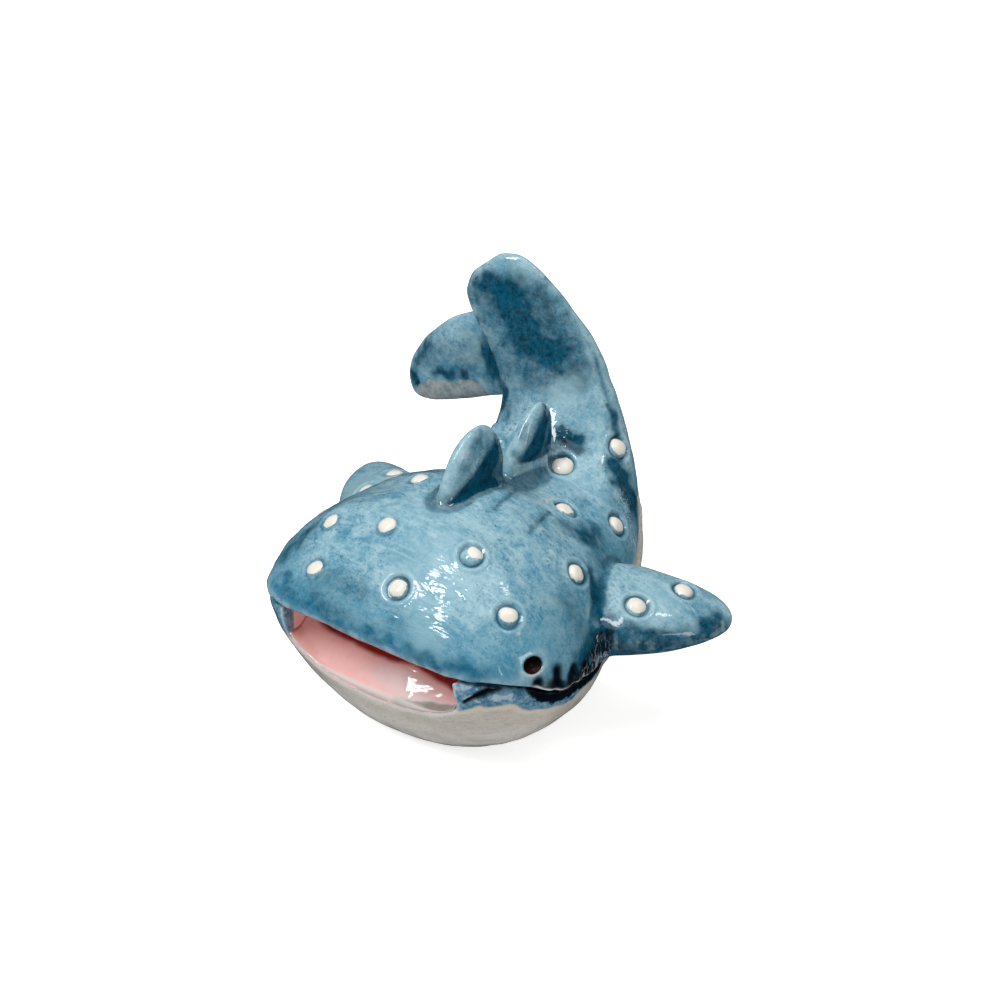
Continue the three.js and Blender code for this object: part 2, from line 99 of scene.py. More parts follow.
# The spot whose cream has worn off one side, and where what is left of it lies across the bead
WORN_SPOT = "back_spot_06"
WORN_SHIFT = (-0.42, -0.3)

# Spots whose cream lies on their far side, with the way it went, and one that is large and full
FAR_SPOTS = ("back_spot_16", "back_spot_18")
FAR_WAY = (-0.52, 0.66, -0.54)
FULL_SPOT = "back_spot_15"

# The eyes are wider than they are high
EYE_STRETCH = (1.12, 0.94)

# Strokes painted over the gills on the left of the head, from the top down
GILL_STROKES = (
    ((15.7, -10.95, 12.8), (15.55, -10.9, 11.3)),
    ((16.2, -8.65, 13.1), (16.3, -8.9, 11.9), (16.0, -8.85, 10.2)),
    ((16.3, -6.15, 12.0), (16.4, -6.4, 10.9), (16.0, -6.0, 9.4)),
    ((16.2, -4.4, 11.2), (16.2, -4.5, 10.2), (15.75, -4.2, 8.8)),
)

# Edge of the upper lip, where teal paint gathers, and the way black paint and painted shade run below and
# behind the gills
LIP_LINE = (
    (-11.6, -16.2, 14.7), (-9.3, -16.9, 14.6), (-7.5, -17.05, 14.75), (-5.0, -17.2, 14.65),
    (-2.5, -17.25, 14.6), (2.3, -17.25, 14.6), (4.6, -17.2, 14.55), (6.9, -17.15, 14.6),
    (9.1, -16.95, 14.6), (10.6, -16.7, 14.6), (12.6, -15.3, 14.3),
)
BLACK_AND_SHADE_LINE = (
    (15.9, -10.4, 11.7), (16.5, -8.2, 10.9), (16.4, -6.0, 10.5), (16.15, -4.2, 10.6), (16.05, -3.0, 10.8),
    (16.1, -1.8, 11.8), (16.2, -1.2, 12.8),
)

# A fold in the lower jaw behind the corner of the mouth
FOLD_LINE = ((11.2, -16.2, 11.5), (12.17, -15.72, 12.5), (13.07, -14.96, 13.04), (13.75, -14.1, 13.1))

# Pale strokes in the blue of the jaw, pale paint and painted highlights: the places a stroke runs through and
# its reach
JAW_PALE_MARKS_AND_HIGHLIGHTS = (
    (((10.7, -16.5, 13.3), (11.9, -15.9, 13.4)), 0.5),
    (((11.3, -16.3, 12.3), (12.2, -15.6, 12.0)), 0.4),
    (((13.2, -14.5, 11.9), (14.3, -12.9, 11.85)), 0.38),
    (((12.7, -15.3, 13.2), (13.3, -14.7, 13.1)), 0.36),
)

# Folds pressed into the back: down the tail stalk, over the root of the left fin and beside the back fins
FOLDS = (
    ((-0.3, 19.2, 28.3), (0.8, 18.7, 26.0), (2.4, 18.1, 23.4), (3.6, 17.4, 21.8), (5.2, 16.4, 19.6)),
    ((12.0, 2.2, 16.9), (12.9, 0.9, 16.4), (13.9, 0.4, 15.2)),
    ((4.2, -2.5, 22.95), (3.7, -0.2, 22.7), (2.7, 2.6, 21.9), (1.75, 4.2, 21.1)),
    ((7.9, -1.95, 21.55), (7.2, 0.45, 21.2), (6.2, 3.4, 20.45)),
)

# Faces of the back fins that stay dark: below a line with a height at a place and a slope, and above the foot
FIN_SHADES = (("dorsal_fin_front", -0.6, 26.3, 0.53, 15.0), ("dorsal_fin_rear", 9.0, 25.3, 0.81, 22.2))

# The belly colour comes up onto the lower tail lobe below this line
LOBE_ACROSS = (-19.6, -18.95, -17.1, -15.0, -13.3, -11.9, -11.0)
LOBE_HEIGHT = (18.6, 19.7, 20.9, 21.4, 22.1, 21.8, 21.0)

# Lacquer that dried in white hairs: over the flank, and at the corner of the jaw
FLANK_HAIRS = ((7.3, 13.4, 17.4), (8.5, 12.8, 15.7), (9.5, 12.4, 13.8))
JAW_HAIRS = ((15.9, -4.5, 9.6), (15.6, -2.6, 9.6), (15.6, -1.4, 11.0))

# Lower edge of the blue on the jaw: the bearing from straight ahead in degrees, and the height
BAND_BEARING = (28, 31, 39, 47, 53, 62, 70, 79, 88, 94, 99, 104, 180)
BAND_HEIGHT = (10.2, 10.0, 11.0, 10.8, 9.4, 8.7, 7.9, 8.1, 8.2, 8.6, 9.4, 11.0, 30)

# Strokes of dark blue wash and painted shade: the places a stroke runs through, its reach and its strength
DARK_WASHES_AND_SHADE = (
    (((-9.6, 17.3, 33.0), (-8.9, 17.0, 31.4), (-7.1, 16.8, 29.7)), 1.2, 1.0),
    (((-7.1, 16.8, 29.7), (-5.2, 16.7, 28.5), (-3.4, 16.8, 27.6)), 1.0, 0.9),
    (((-7.7, 16.1, 28.1), (-3.1, 17.0, 27.9)), 0.9, 0.3),
    (((-13.4, 16.6, 33.0), (-11.2, 16.0, 27.2)), 0.9, 0.36),
    (((-12.6, 16.8, 33.5), (-11.5, 16.8, 33.0)), 0.9, 0.5),
    (((-11.0, 16.2, 25.4), (-8.6, 14.8, 21.8)), 1.2, 0.6),
    (((-10.0, 16.8, 31.4), (-5.5, 16.5, 27.5)), 3.6, 0.42),
    (((-9.5, 15.8, 25.0), (-4.5, 15.7, 25.0)), 1.8, 0.24),
    (((-6.5, 17.8, 33.5), (-3.0, 17.6, 30.0), (-0.8, 17.6, 26.5)), 2.2, 0.4),
    (((-20.7, 15.7, 19.8), (-19.6, 15.5, 19.6)), 0.9, 0.85),
    (((-17.3, 15.8, 21.5), (-13.4, 16.2, 22.6)), 0.8, 0.55),
    (((-11.4, 16.5, 25.6), (-10.6, 16.4, 23.0)), 0.6, 0.4),
    (((-20.3, 15.8, 21.5), (-18.5, 16.4, 24.5)), 0.8, 0.35),
    (((-19.0, 16.0, 23.0), (-13.0, 16.5, 25.0)), 2.5, 0.3),
    (((-8.3, 14.6, 22.6), (-6.4, 13.8, 21.6)), 1.1, 0.6),
    (((-0.4, 13.6, 21.9), (1.9, 13.8, 21.2)), 0.9, 0.85),
    (((2.2, 18.2, 23.6), (3.7, 17.4, 21.6)), 0.7, 0.6),
    (((5.8, 15.0, 19.2), (7.6, 14.6, 16.2)), 1.5, 0.85),
    (((9.0, 7.0, 17.4), (9.4, 4.6, 18.2)), 1.3, 0.4),
    (((8.2, 3.2, 19.4), (9.8, 5.5, 17.6)), 1.8, 0.34),
    (((12.5, 1.4, 16.8), (14.2, 0.2, 14.9)), 1.1, 0.6),
    (((15.3, -0.4, 14.0), (16.4, -1.2, 12.8)), 0.9, 0.75),
    (((16.2, -1.6, 12.2), (15.8, -2.2, 9.8)), 1.5, 1.0),
    (((16.0, -4.6, 11.5), (15.8, -2.6, 10.0)), 1.3, 1.0),
    (((13.8, -3.6, 16.6), (15.6, -3.2, 12.6)), 1.8, 0.28),
    (((-11.2, -15.6, 16.2), (-9.0, -16.4, 15.7)), 0.8, 0.4),
    (((-6.3, -16.7, 15.9), (-2.4, -17.0, 15.4)), 1.2, 0.3),
    (((1.0, -17.0, 15.3), (3.2, -17.0, 15.1)), 0.7, 0.26),
    (((5.4, -16.9, 15.4), (9.2, -16.7, 14.7)), 0.9, 0.34),
    (((10.4, -16.2, 15.1), (12.6, -15.3, 14.6)), 0.8, 0.34),
    (((-12.6, -12.6, 16.8), (-11.5, -10.6, 18.4)), 1.6, 0.45),
    (((-6.5, -15.2, 18.0), (-1.5, -15.4, 18.2)), 1.5, 0.3),
    (((17.4, -0.5, 11.3), (19.3, 1.8, 10.7), (21.6, 5.1, 10.7), (22.6, 8.0, 11.0)), 1.9, 0.66),
    (((21.4, 7.6, 12.0), (22.4, 8.6, 11.0)), 1.4, 0.25),
    (((17.0, 0.8, 13.4), (19.7, 2.7, 12.0)), 0.9, 0.4),
    (((16.4, -9.5, 10.6), (16.3, -5.0, 9.2)), 1.2, 0.7),
    (((16.2, -6.8, 11.2), (16.0, -3.2, 10.6)), 1.3, 0.7),
    (((3.0, 2.0, 22.0), (1.8, 6.0, 20.8)), 1.0, 0.35),
    (((0.8, -1.7, 27.6), (0.9, -3.0, 25.6)), 0.7, 0.24),
    (((0.7, -0.2, 28.1), (1.1, 0.3, 26.2)), 0.8, 0.35),
    (((0.0, 7.9, 25.0), (0.2, 6.4, 23.2)), 0.6, 0.35),
    (((2.6, -16.2, 17.2), (4.4, -16.1, 17.4)), 0.8, 0.22),
)

# Places where the pale wash is thickest, with painted light on lit tops and painted sheen
PALE_WASHES_AND_LIGHT = (
    ((4.5, -12.0, 20.0), 4.5, 0.8), ((0.0, -6.0, 22.5), 4.0, 0.4), ((17.5, 4.5, 14.2), 3.2, 0.7),
    ((-0.9, 17.1, 26.0), 2.4, 0.6), ((-1.6, 15.3, 24.2), 1.8, 0.5), ((-14.0, 15.5, 26.0), 1.8, 0.3),
    ((-8.5, 18.4, 34.4), 1.6, 0.5), ((4.0, 11.0, 19.8), 2.0, 0.4), ((-17.5, 4.5, 14.2), 3.4, 0.9),
    ((6.5, -16.2, 16.6), 1.8, 0.4), ((0.6, 7.0, 21.2), 1.3, 0.6), ((-12.5, 16.5, 25.3), 1.3, 0.6),
)

# What is made once and used by several pieces
_made = {}


def linear(red, green, blue):
    """A colour as picked off a screen, 0 to 255, turned into light."""
    share = [value / 255 for value in (red, green, blue)]
    return tuple(s / 12.92 if s <= 0.04045 else ((s + 0.055) / 1.055) ** 2.4 for s in share)


# What settings of one kind share
LENGTH = {"unit": "LENGTH", "precision": 5}
COLOUR = {"subtype": "COLOR", "size": 3, "min": 0, "max": 1}
POWER = {"subtype": "POWER", "unit": "POWER", "min": 0, "max": 5}


class SharkSizes(bpy.types.PropertyGroup):
    """Sizes of the moulded detail."""

    grid: bpy.props.FloatProperty(
        name="Skin grid", description="Spacing of the points on the body's skin",
        default=0.00017, min=0.00012, max=0.0006, **LENGTH)
    soften: bpy.props.IntProperty(
        name="Soften", description="Rounds of smoothing that take the flats out of the CAD skin",
        default=110, min=0, max=400)
    fillet: bpy.props.FloatProperty(
        name="Fillet", description="Reach of the rounding where a fin meets the body",
        default=0.0007, min=0, max=0.003, **LENGTH)
    unevenness: bpy.props.FloatProperty(
        name="Unevenness", description="Height of the slow hand-made waves in the skin",
        default=0.00007, min=0, max=0.0003, **LENGTH)
    groove_radius: bpy.props.FloatProperty(
        name="Groove radius", description="Radius of the ring pressed round each spot",
        default=0.00112, min=0.001, max=0.0016, **LENGTH)
    groove_depth: bpy.props.FloatProperty(
        name="Groove depth", description="Depth of the ring pressed round each spot",
        default=0.00024, min=0, max=0.0006, **LENGTH)
    bead_radius: bpy.props.FloatProperty(
        name="Bead radius", description="Radius of a spot's bead",
        default=0.00104, min=0.0006, max=0.0011, **LENGTH)
    bead_rise: bpy.props.FloatProperty(
        name="Bead rise", description="How far a spot's bead stands out of the skin",
        default=0.00026, min=0, max=0.0005, **LENGTH)
    eye_radius: bpy.props.FloatProperty(
        name="Eye radius", description="Radius of the eye pit",
        default=0.00083, min=0.0005, max=0.0012, **LENGTH)
    gill_depth: bpy.props.FloatProperty(
        name="Gill depth", description="Depth of the gill grooves",
        default=0.00016, min=0, max=0.0004, **LENGTH)


class SharkPaint(bpy.types.PropertyGroup):
    """Colours of the paint and the gloss of the lacquer."""

    # back_light is also laid on as a painted highlight on ridges and as painted light in the pale wash
    back_light: bpy.props.FloatVectorProperty(
        name="Back, light", description="Pale wash on the back", default=linear(160, 197, 208), **COLOUR)
    back_mid: bpy.props.FloatVectorProperty(
        name="Back, middle", description="Steel blue of the back", default=linear(108, 162, 185), **COLOUR)
    # back_dark also gives the painted shade in creases and in the rings round the spots
    back_dark: bpy.props.FloatVectorProperty(
        name="Back, dark", description="Dark blue of specks, creases and rings",
        default=linear(0, 60, 80), **COLOUR)
    belly: bpy.props.FloatVectorProperty(
        name="Belly", description="Warm grey of the belly", default=linear(210, 205, 197), **COLOUR)
    mouth: bpy.props.FloatVectorProperty(
        name="Mouth", description="Salmon pink of the mouth", default=linear(255, 207, 203), **COLOUR)
    spot: bpy.props.FloatVectorProperty(
        name="Spots", description="Cream of the raised spots", default=linear(243, 238, 228), **COLOUR)
    eye: bpy.props.FloatVectorProperty(
        name="Eyes", description="Black of the eye pits", default=linear(12, 9, 10), **COLOUR)
    gloss: bpy.props.FloatProperty(
        name="Lacquer roughness", description="Lower is glossier",
        default=0.035, min=0, max=0.5, subtype="FACTOR")


class StageSettings(bpy.types.PropertyGroup):
    """Light and floor for the pictures."""

    key: bpy.props.FloatProperty(
        name="Main lamp", description="Power of the tall lamp in front", default=0.88, **POWER)
    top: bpy.props.FloatProperty(
        name="Top lamp", description="Power of the wide soft lamp overhead", default=0.75, **POWER)
    side: bpy.props.FloatProperty(
        name="Side lamp", description="Power of the small lamp over the left fin", default=0.14, **POWER)
    window: bpy.props.FloatProperty(
        name="Window", description="Power of the low lamp at the shark's left", default=0.12, **POWER)
    sky: bpy.props.FloatProperty(
        name="Room light", description="Strength of the even light from all round", default=0.18, min=0, max=2)
    floor: bpy.props.FloatVectorProperty(
        name="Floor", description="Colour of the floor", default=(0.9, 0.9, 0.9), **COLOUR)
    floor_lift: bpy.props.FloatProperty(
        name="Floor lift", description="Extra white that only the camera sees on the floor", default=0.72,
        min=0, max=1)


# Shapes as points in millimetres and faces

def node_shape(name):
    """Points and triangles of a CAD node, with its split corners joined again."""
    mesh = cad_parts[name].data
    points = np.empty(len(mesh.vertices) * 3, np.float32)
    mesh.vertices.foreach_get("co", points)
    points = points.reshape(-1, 3).astype(float) * MM
    mesh.calc_loop_triangles()
    tris = np.empty(len(mesh.loop_triangles) * 3, np.int32)
    mesh.loop_triangles.foreach_get("vertices", tris)
    _, first, joined = np.unique(np.round(points, 3), axis=0, return_index=True, return_inverse=True)
    tris = joined.reshape(-1)[tris].reshape(-1, 3)
    real = (tris[:, 0] != tris[:, 1]) & (tris[:, 1] != tris[:, 2]) & (tris[:, 2] != tris[:, 0])
    return points[first], tris[real]


def node_tree(name):
    points, tris = node_shape(name)
    return BVHTree.FromPolygons(points.tolist(), tris.tolist())


def distance(tree, points, reach):
    """How far each point is from a shape, up to a reach."""
    found = (tree.find_nearest(point, reach)[3] for point in points.tolist())
    return np.array([reach if d is None else d for d in found])


def fused(shapes, grid):
    """One even skin of four-sided faces round shapes that overlap."""
    points, faces, count = [], [], 0
    for shape_points, shape_faces in shapes:
        points.append(shape_points)
        faces.append(np.asarray(shape_faces) + count)
        count += len(shape_points)
    mesh = bpy.data.meshes.new("fused")
    mesh.from_pydata(np.concatenate(points).tolist(), [], np.concatenate(faces).tolist())
    made = bpy.data.objects.new("fused", mesh)
    bpy.context.scene.collection.objects.link(made)
    skin = made.modifiers.new("Skin", "REMESH")
    skin.mode = "VOXEL"
    skin.voxel_size = grid
    ready = made.evaluated_get(bpy.context.evaluated_depsgraph_get())
    result = ready.to_mesh()
    points = np.empty(len(result.vertices) * 3, np.float32)
    result.vertices.foreach_get("co", points)
    corners = np.empty(len(result.loops), np.int32)
    result.loops.foreach_get("vertex_index", corners)
    if len(corners) != 4 * len(result.polygons):
        raise RuntimeError("The fused skin has faces that aren't four-sided")
    ready.to_mesh_clear()
    bpy.data.objects.remove(made)
    bpy.data.meshes.remove(mesh)
    return points.reshape(-1, 3).astype(float), corners.reshape(-1, 4)


class Net:
    """Which points of a closed skin are neighbours."""

    def __init__(self, faces, count):
        self.start = faces.ravel()
        self.end = np.roll(faces, -1, axis=1).ravel()
        self.total = count
        self.number = np.maximum(np.bincount(self.start, minlength=count), 1)[:, None]

    def mean(self, values):
        sums = [np.bincount(self.start, column[self.end], self.total) for column in values.T]
        return np.stack(sums, 1) / self.number

    def relaxed(self, values, rounds, weight=0.5):
        for _ in range(rounds):
            values = values + weight * (self.mean(values) - values)
        return values

    def softened(self, points, rounds):
        """Take out small flats, then give back most of what that took from the form."""
        made, left = 0, points
        for _ in range(3):
            soft = self.relaxed(left, rounds)
            made, left = made + soft, left - soft
        return made


def unit(vectors):
    return vectors / np.maximum(np.linalg.norm(vectors, axis=-1, keepdims=True), 1e-12)


def normals_of(points, faces):
    """Normals at the points of a skin of four-sided faces."""
    a, b, c, d = (points[faces[:, k]] for k in range(4))
    flat = np.cross(c - a, d - b)
    made = np.zeros_like(points)
    for k in range(4):
        for axis in range(3):
            made[:, axis] += np.bincount(faces[:, k], flat[:, axis], len(points))
    return unit(made)


def step(values, low, high):
    """A soft step from 0 at low to 1 at high."""
    share = np.clip((values - low) / (high - low), 0, 1)
    return share * share * (3 - 2 * share)


def bell(values, reach, power=2):
    """1 at zero, falling off to both sides over a reach."""
    return np.exp(-(values / reach) ** power)


def blob(points, place, reach):
    """1 at a place, falling off all round it over a reach."""
    return np.exp(-(((points - place) / reach) ** 2).sum(1))


def waves(points, length, seed, count=28):
    """Slow random swell between about -1 and 1, with a wave length in millimetres."""
    random = np.random.default_rng(seed)
    heading = unit(random.normal(size=(count, 3)))
    pace = 2 * math.pi / (length * random.uniform(0.75, 1.4, count))
    phase = random.uniform(0, 2 * math.pi, count)
    return np.sin(points @ (heading * pace[:, None]).T + phase).sum(1) / math.sqrt(count)


def ragged(points, reach, length, seed):
    """Points moved about at random, which frays the edge of what is painted by them."""
    return points + reach * np.stack([waves(points, length, seed + axis) for axis in range(3)], 1)


def from_line(points, line):
    """Distance of points from a line through several places."""
    nearest = np.full(len(points), np.inf)
    for start, end in zip(np.array(line[:-1]), np.array(line[1:])):
        along = np.clip((points - start) @ (end - start) / ((end - start) @ (end - start)), 0, 1)
        nearest = np.minimum(nearest, np.linalg.norm(points - start - along[:, None] * (end - start), axis=1))
    return nearest


def from_gills(points):
    """Distance of points from the gills of either side."""
    sides = (points, points * (-1, 1, 1))
    return np.minimum.reduce([from_line(side, line) for line in GILL_STROKES for side in sides])


def plug_place(name):
    """Where a CAD plug meets the skin, and the way it faces, read off its flat base."""
    points, tris = node_shape(name)
    a, b, c = (points[tris[:, k]] for k in range(3))
    flat = np.cross(b - a, c - a)
    area = np.linalg.norm(flat, axis=1)
    _, kind = np.unique(np.round(unit(flat), 2), axis=0, return_inverse=True)
    kind = kind.reshape(-1)
    on_base = kind == np.bincount(kind, area).argmax()
    out = -unit(flat[on_base].sum(0))
    middle = ((a + b + c)[on_base] / 3 * area[on_base, None]).sum(0) / area[on_base].sum()
    return middle + out * PLUG_DEPTH, out


def sides_of(out):
    """Two directions across a plug's axis."""
    across = unit(np.cross(out, (0.0, 0.0, 1.0) if abs(out[2]) < 0.9 else (0.0, 1.0, 0.0)))
    return across, np.cross(out, across)


def turned(profile, place, out, around=24):
    """A closed round shape from a profile of radius and height, set on a place."""
    across, up = sides_of(out)
    angle = np.arange(around) * 2 * math.pi / around
    ring = np.cos(angle)[:, None] * across + np.sin(angle)[:, None] * up
    points = [place + radius * ring + height * out for radius, height in profile]
    points = np.concatenate(points + [np.array([place + profile[0][1] * out, place + profile[-1][1] * out])])
    faces = []
    last = (len(profile) - 1) * around
    for i in range(around):
        j = (i + 1) % around
        for row in range(0, last, around):
            faces.append((row + i, row + j, row + around + j))
            faces.append((row + i, row + around + j, row + around + i))
        faces.append((len(points) - 2, j, i))
        faces.append((len(points) - 1, last + i, last + j))
    return points, np.array(faces)


def closed(points, faces):
    """Faces of a piece cut from a skin, with each cut closed by a fan round a new point."""
    edges = np.concatenate([np.stack([faces[:, k], faces[:, (k + 1) % 4]], 1) for k in range(4)])
    code = edges[:, 0].astype(np.int64) * len(points) + edges[:, 1]
    back = edges[:, 1].astype(np.int64) * len(points) + edges[:, 0]
    rim = edges[~np.isin(back, code)]
    onward = {}
    for a, b in rim.tolist():
        onward.setdefault(a, []).append(b)
    made, fans = [], []
    while onward:
        loop, here = [], next(iter(onward))
        while here in onward:
            there = onward[here].pop()
            if not onward[here]:
                del onward[here]
            loop.append((here, there))
            here = there
        hub = len(points) + len(made)
        made.append(points[[a for a, _ in loop]].mean(0))
        fans += [(b, a, hub) for a, b in loop]
    return (np.concatenate([points, made]) if made else points), faces.tolist() + fans


def rounds(count, grid):
    """Rounds of smoothing that come to the same on any grid."""
    return int(count * (COUNTED_GRID / grid) ** 2)


def fin_inward(points, tree):
    """The way a fin goes into the body, from the glue gap between them."""
    gaps = []
    for point in points.tolist():
        near = tree.find_nearest(point, GLUE_REACH)[0]
        if near is not None:
            gaps.append(np.array(near) - point)
    return unit(np.mean(gaps, axis=0))


def spot_rings(points, spots, sizes):
    """How deep rings are pressed round the spots, and where painted shade lies in them."""
    pressed, dark = np.zeros(len(points)), np.zeros(len(points))
    random = np.random.default_rng(77)
    for name, (place, out) in zip(SPOTS, spots):
        share = 0.25 if name in FAR_SPOTS else 0.45 + 0.55 * step(place[0], -2, 1)
        local = points - place
        height = local @ out
        radius = np.linalg.norm(local - height[:, None] * out, axis=1)
        here = (abs(height) < 1.2) & (radius < 2.6)
        past = radius[here] - sizes.groove_radius * MM
        groove = np.where(past < 0, 1, bell(past, 0.17))
        ridge = 0.085 * bell(past - 0.46, 0.22)
        pressed[here] -= share * (sizes.groove_depth * MM * groove - ridge)
        across, up = sides_of(out)
        turn = np.arctan2(local[here] @ up, local[here] @ across) - random.uniform(0, 2 * math.pi)
        # Painted shade in the groove, darker on one side
        dark[here] = np.maximum(dark[here], share * bell(past, 0.15) * (0.62 + 0.38 * np.cos(turn)))
    return pressed, dark


def eye_pits(points, eyes, sizes):
    """How deep the eyes are pressed in, where they are black, and a painted highlight on the rim below each.
    """
    pressed, black, rim = (np.zeros(len(points)) for _ in range(3))
    size = sizes.eye_radius * MM
    for place, out in eyes:
        local = points - place
        across, up = sides_of(out)
        radius = np.hypot(local @ across / EYE_STRETCH[0], local @ up / EYE_STRETCH[1])
        here = (abs(local @ out) < 1.2) & (radius < 2)
        near = radius[here]
        pressed[here] -= 0.8 * (1 - step(near, 0.8 * size, 1.1 * size))
        black[here] = 1 - step(near, 0.95 * size, 1.2 * size)
        # A painted highlight on the lower rim of each pit
        below = step(-local[here, 2] / np.maximum(near, 0.1), 0.1, 0.8)
        rim[here] = below * bell(near / size - 1.22, 0.14)
    return pressed, black, rim


def body_paints(points, normals, hollow, near, fold):
    """Where the washes of paint gather and where shade and light are painted, as masks for the points of the
    body's skin.
    """
    x, y, z = points.T
    fin_under = (1 - step(normals[:, 2], -0.93, -0.8)) * (near["back_casting"] > 0.25)
    below = np.interp(x, LOBE_ACROSS, LOBE_HEIGHT) + 0.22 * waves(points, 1.3, 41) - z
    lobe = step(below, -0.12, 0.12) * (near["tail_fin"] < 0.6) * step(x, -19.6, -19.2) * (x < -10.8)
    in_mouth = step(-y, 8, 9) * step(10.3 - abs(x), 0, 0.3) * step(15.2 - z, 0, 0.5)
    shaded = np.zeros(len(points))
    for name, along, height, slope, foot in FIN_SHADES:
        drop = (height + slope * (y - along) - z) / math.hypot(1, slope)
        face = step(drop, -0.6, 1.3) * step(normals[:, 0], 0.05, 0.5) * step(0.55 - near[name], 0, 0.3)
        shaded = np.maximum(shaded, face * step(z + 0.15 * (y - 6) - foot, -0.35, 0.45))
    frayed = ragged(points, 0.34, 1.6, 61)
    # Dark blue wash and painted shade, laid along the strokes and in the folds
    wash = np.zeros(len(points))
    for line, reach, strength in DARK_WASHES_AND_SHADE:
        wash += (1 - wash) * strength * bell(from_line(frayed, line), reach)
    # Pale wash, with painted light on lit tops and painted sheen
    pale = sum(strength * blob(points, place, reach) for place, reach, strength in PALE_WASHES_AND_LIGHT)
    hairs = np.minimum(from_line(points, FLANK_HAIRS) / 0.9, from_line(points, JAW_HAIRS) / 1.3)
    lip = from_line(frayed, LIP_LINE)
    bearing = np.degrees(np.arctan2(abs(x), -y))
    seam = distance(node_tree("belly_casting"), points, 2.0)
    return {
        "wash": np.maximum(wash, 0.4 * bell(fold, 0.4)),
        "teal": 0.95 * bell(lip, 0.6) + 0.34 * bell(lip, 2.3),
        # Black paint and painted shade behind the gills
        "soot": bell(from_line(frayed, BLACK_AND_SHADE_LINE), 0.85),
        "lower": (1 - step(z, 15.2, 20.8)) * (near["back_casting"] < 0.6),
        "pale": np.minimum(pale, 1),
        # Dark paint and painted shade on the back's edge above the seam, behind the gills
        "edge": bell(seam, 0.8) * step(bearing, 66, 80) * step(100 - bearing, 0, 8),
        # A painted highlight along the seam
        "line": bell(seam - 0.5, 0.18) * step(bearing, 52, 56) * step(97 - bearing, 0, 6),
        "shaded": shaded,
        "hairs": bell(hairs, 1),
        "brush": blob(points, (5.5, -13.2, 18.8), 4.6),
        # Darker in hollows: dark wash and painted shade
        "hollow": step(hollow, 0.0, 0.12),
        # Paler on ridges: a painted highlight
        "ridge": step(-hollow, 0.02, 0.16),
        # A painted highlight on keen edges
        "keen": step(-hollow, 0.07, 0.16),
        "grey": np.maximum(fin_under, lobe),
        "pink": step(-normals[:, 2], 0.3, 0.6) * in_mouth,
    }


def body_skin():
    """The back with its fins and tail as one skin, with what to paint where, and its owners."""
    if "skin" in _made:
        return _made["skin"]
    sizes = bpy.context.scene.shark_sizes
    grid = sizes.grid * MM
    trees = {name: node_tree(name) for name in SKIN_NODES}
    spots = [plug_place(name) for name in SPOTS]
    eyes = [plug_place(name) for name in EYES]
    shapes = [node_shape("back_casting")] + [turned(SOCKET_FILL, place, out) for place, out in spots + eyes]
    for name in SKIN_NODES[1:]:
        points, tris = node_shape(name)
        inward = fin_inward(points, trees["back_casting"])
        shapes += [(points + push * inward, tris) for push in PUSHES]
    points, faces = fused(shapes, grid)
    net = Net(faces, len(points))
    points = net.softened(points, rounds(sizes.soften, grid))

    # Round the creases where fins and tail meet the body
    near = {name: distance(tree, points, NODE_REACH) for name, tree in trees.items()}
    any_fin = np.min([near[name] for name in FINS], axis=0)
    crease = bell(np.maximum(near["back_casting"], any_fin), sizes.fillet * MM)
    tail_joint = bell(np.maximum(near["back_casting"], near["tail_fin"]), 0.8)
    weight = np.clip(np.maximum(crease, tail_joint), 0, 1)[:, None]
    for _ in range(rounds(60, grid)):
        points = points + 0.5 * weight * (net.mean(points) - points)

    # Slow hand-made waves
    normals = normals_of(points, faces)
    swell = waves(points, 6.5, 11) + 0.35 * waves(points, 2.6, 12)
    points = points + (sizes.unevenness * MM * swell)[:, None] * normals

    # Rings round the spots, the eye pits, the gills and the folds, all pressed in
    rings, ring_shade = spot_rings(points, spots, sizes)
    pits, black, rim = eye_pits(points, eyes, sizes)
    strokes = from_gills(points)
    fold = np.minimum.reduce([from_line(points, line) for line in FOLDS])
    pressed = rings + pits - sizes.gill_depth * MM * bell(strokes, 0.5) - 0.11 * bell(fold, 0.36)
    points = net.relaxed(points + pressed[:, None] * normals, 1, 0.35)
    normals = normals_of(points, faces)

    hollow = ((net.relaxed(points, rounds(70, grid)) - points) * normals).sum(1)
    paints = body_paints(points, normals, hollow, near, fold)
    # Dark paint gathered in the creases where fins meet the body, with painted shade
    paints["crease"] = crease * (1 - 0.6 * step(1.6 - near["dorsal_fin_rear"], 0, 0.6))
    # Painted shade in the rings round the spots
    paints["ring"] = ring_shade
    paints["gill"] = bell(strokes, 0.7, 4)
    paints["pit"] = black
    # A painted highlight on the lower rim of each eye pit
    paints["rim"] = rim
    names = list(near)
    owner = np.argmin([near[name] for name in names], axis=0)
    _made["skin"] = (points, faces, normals, paints, names, owner)
    return _made["skin"]


# Pieces

def put(name, points, faces, nodes, material, normals=None, paints=None):
    """Make a piece in the row frame, riding the body and standing for its CAD nodes."""
    mesh = bpy.data.meshes.new(name)
    mesh.from_pydata((np.asarray(points) / MM).tolist(), [], [list(face) for face in faces])
    mesh.shade_smooth()
    for title, values in (paints or {}).items():
        layer = mesh.attributes.new(title, "FLOAT", "POINT")
        layer.data.foreach_set("value", np.ascontiguousarray(values, np.float32))
    if normals is not None:
        mesh.normals_split_custom_set_from_vertices(normals.tolist())
    mesh.materials.append(material)
    made = bpy.data.objects.new(name, mesh)
    bpy.context.scene.collection.objects.link(made)
    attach(made, BODY)
    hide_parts(*nodes)
    return made


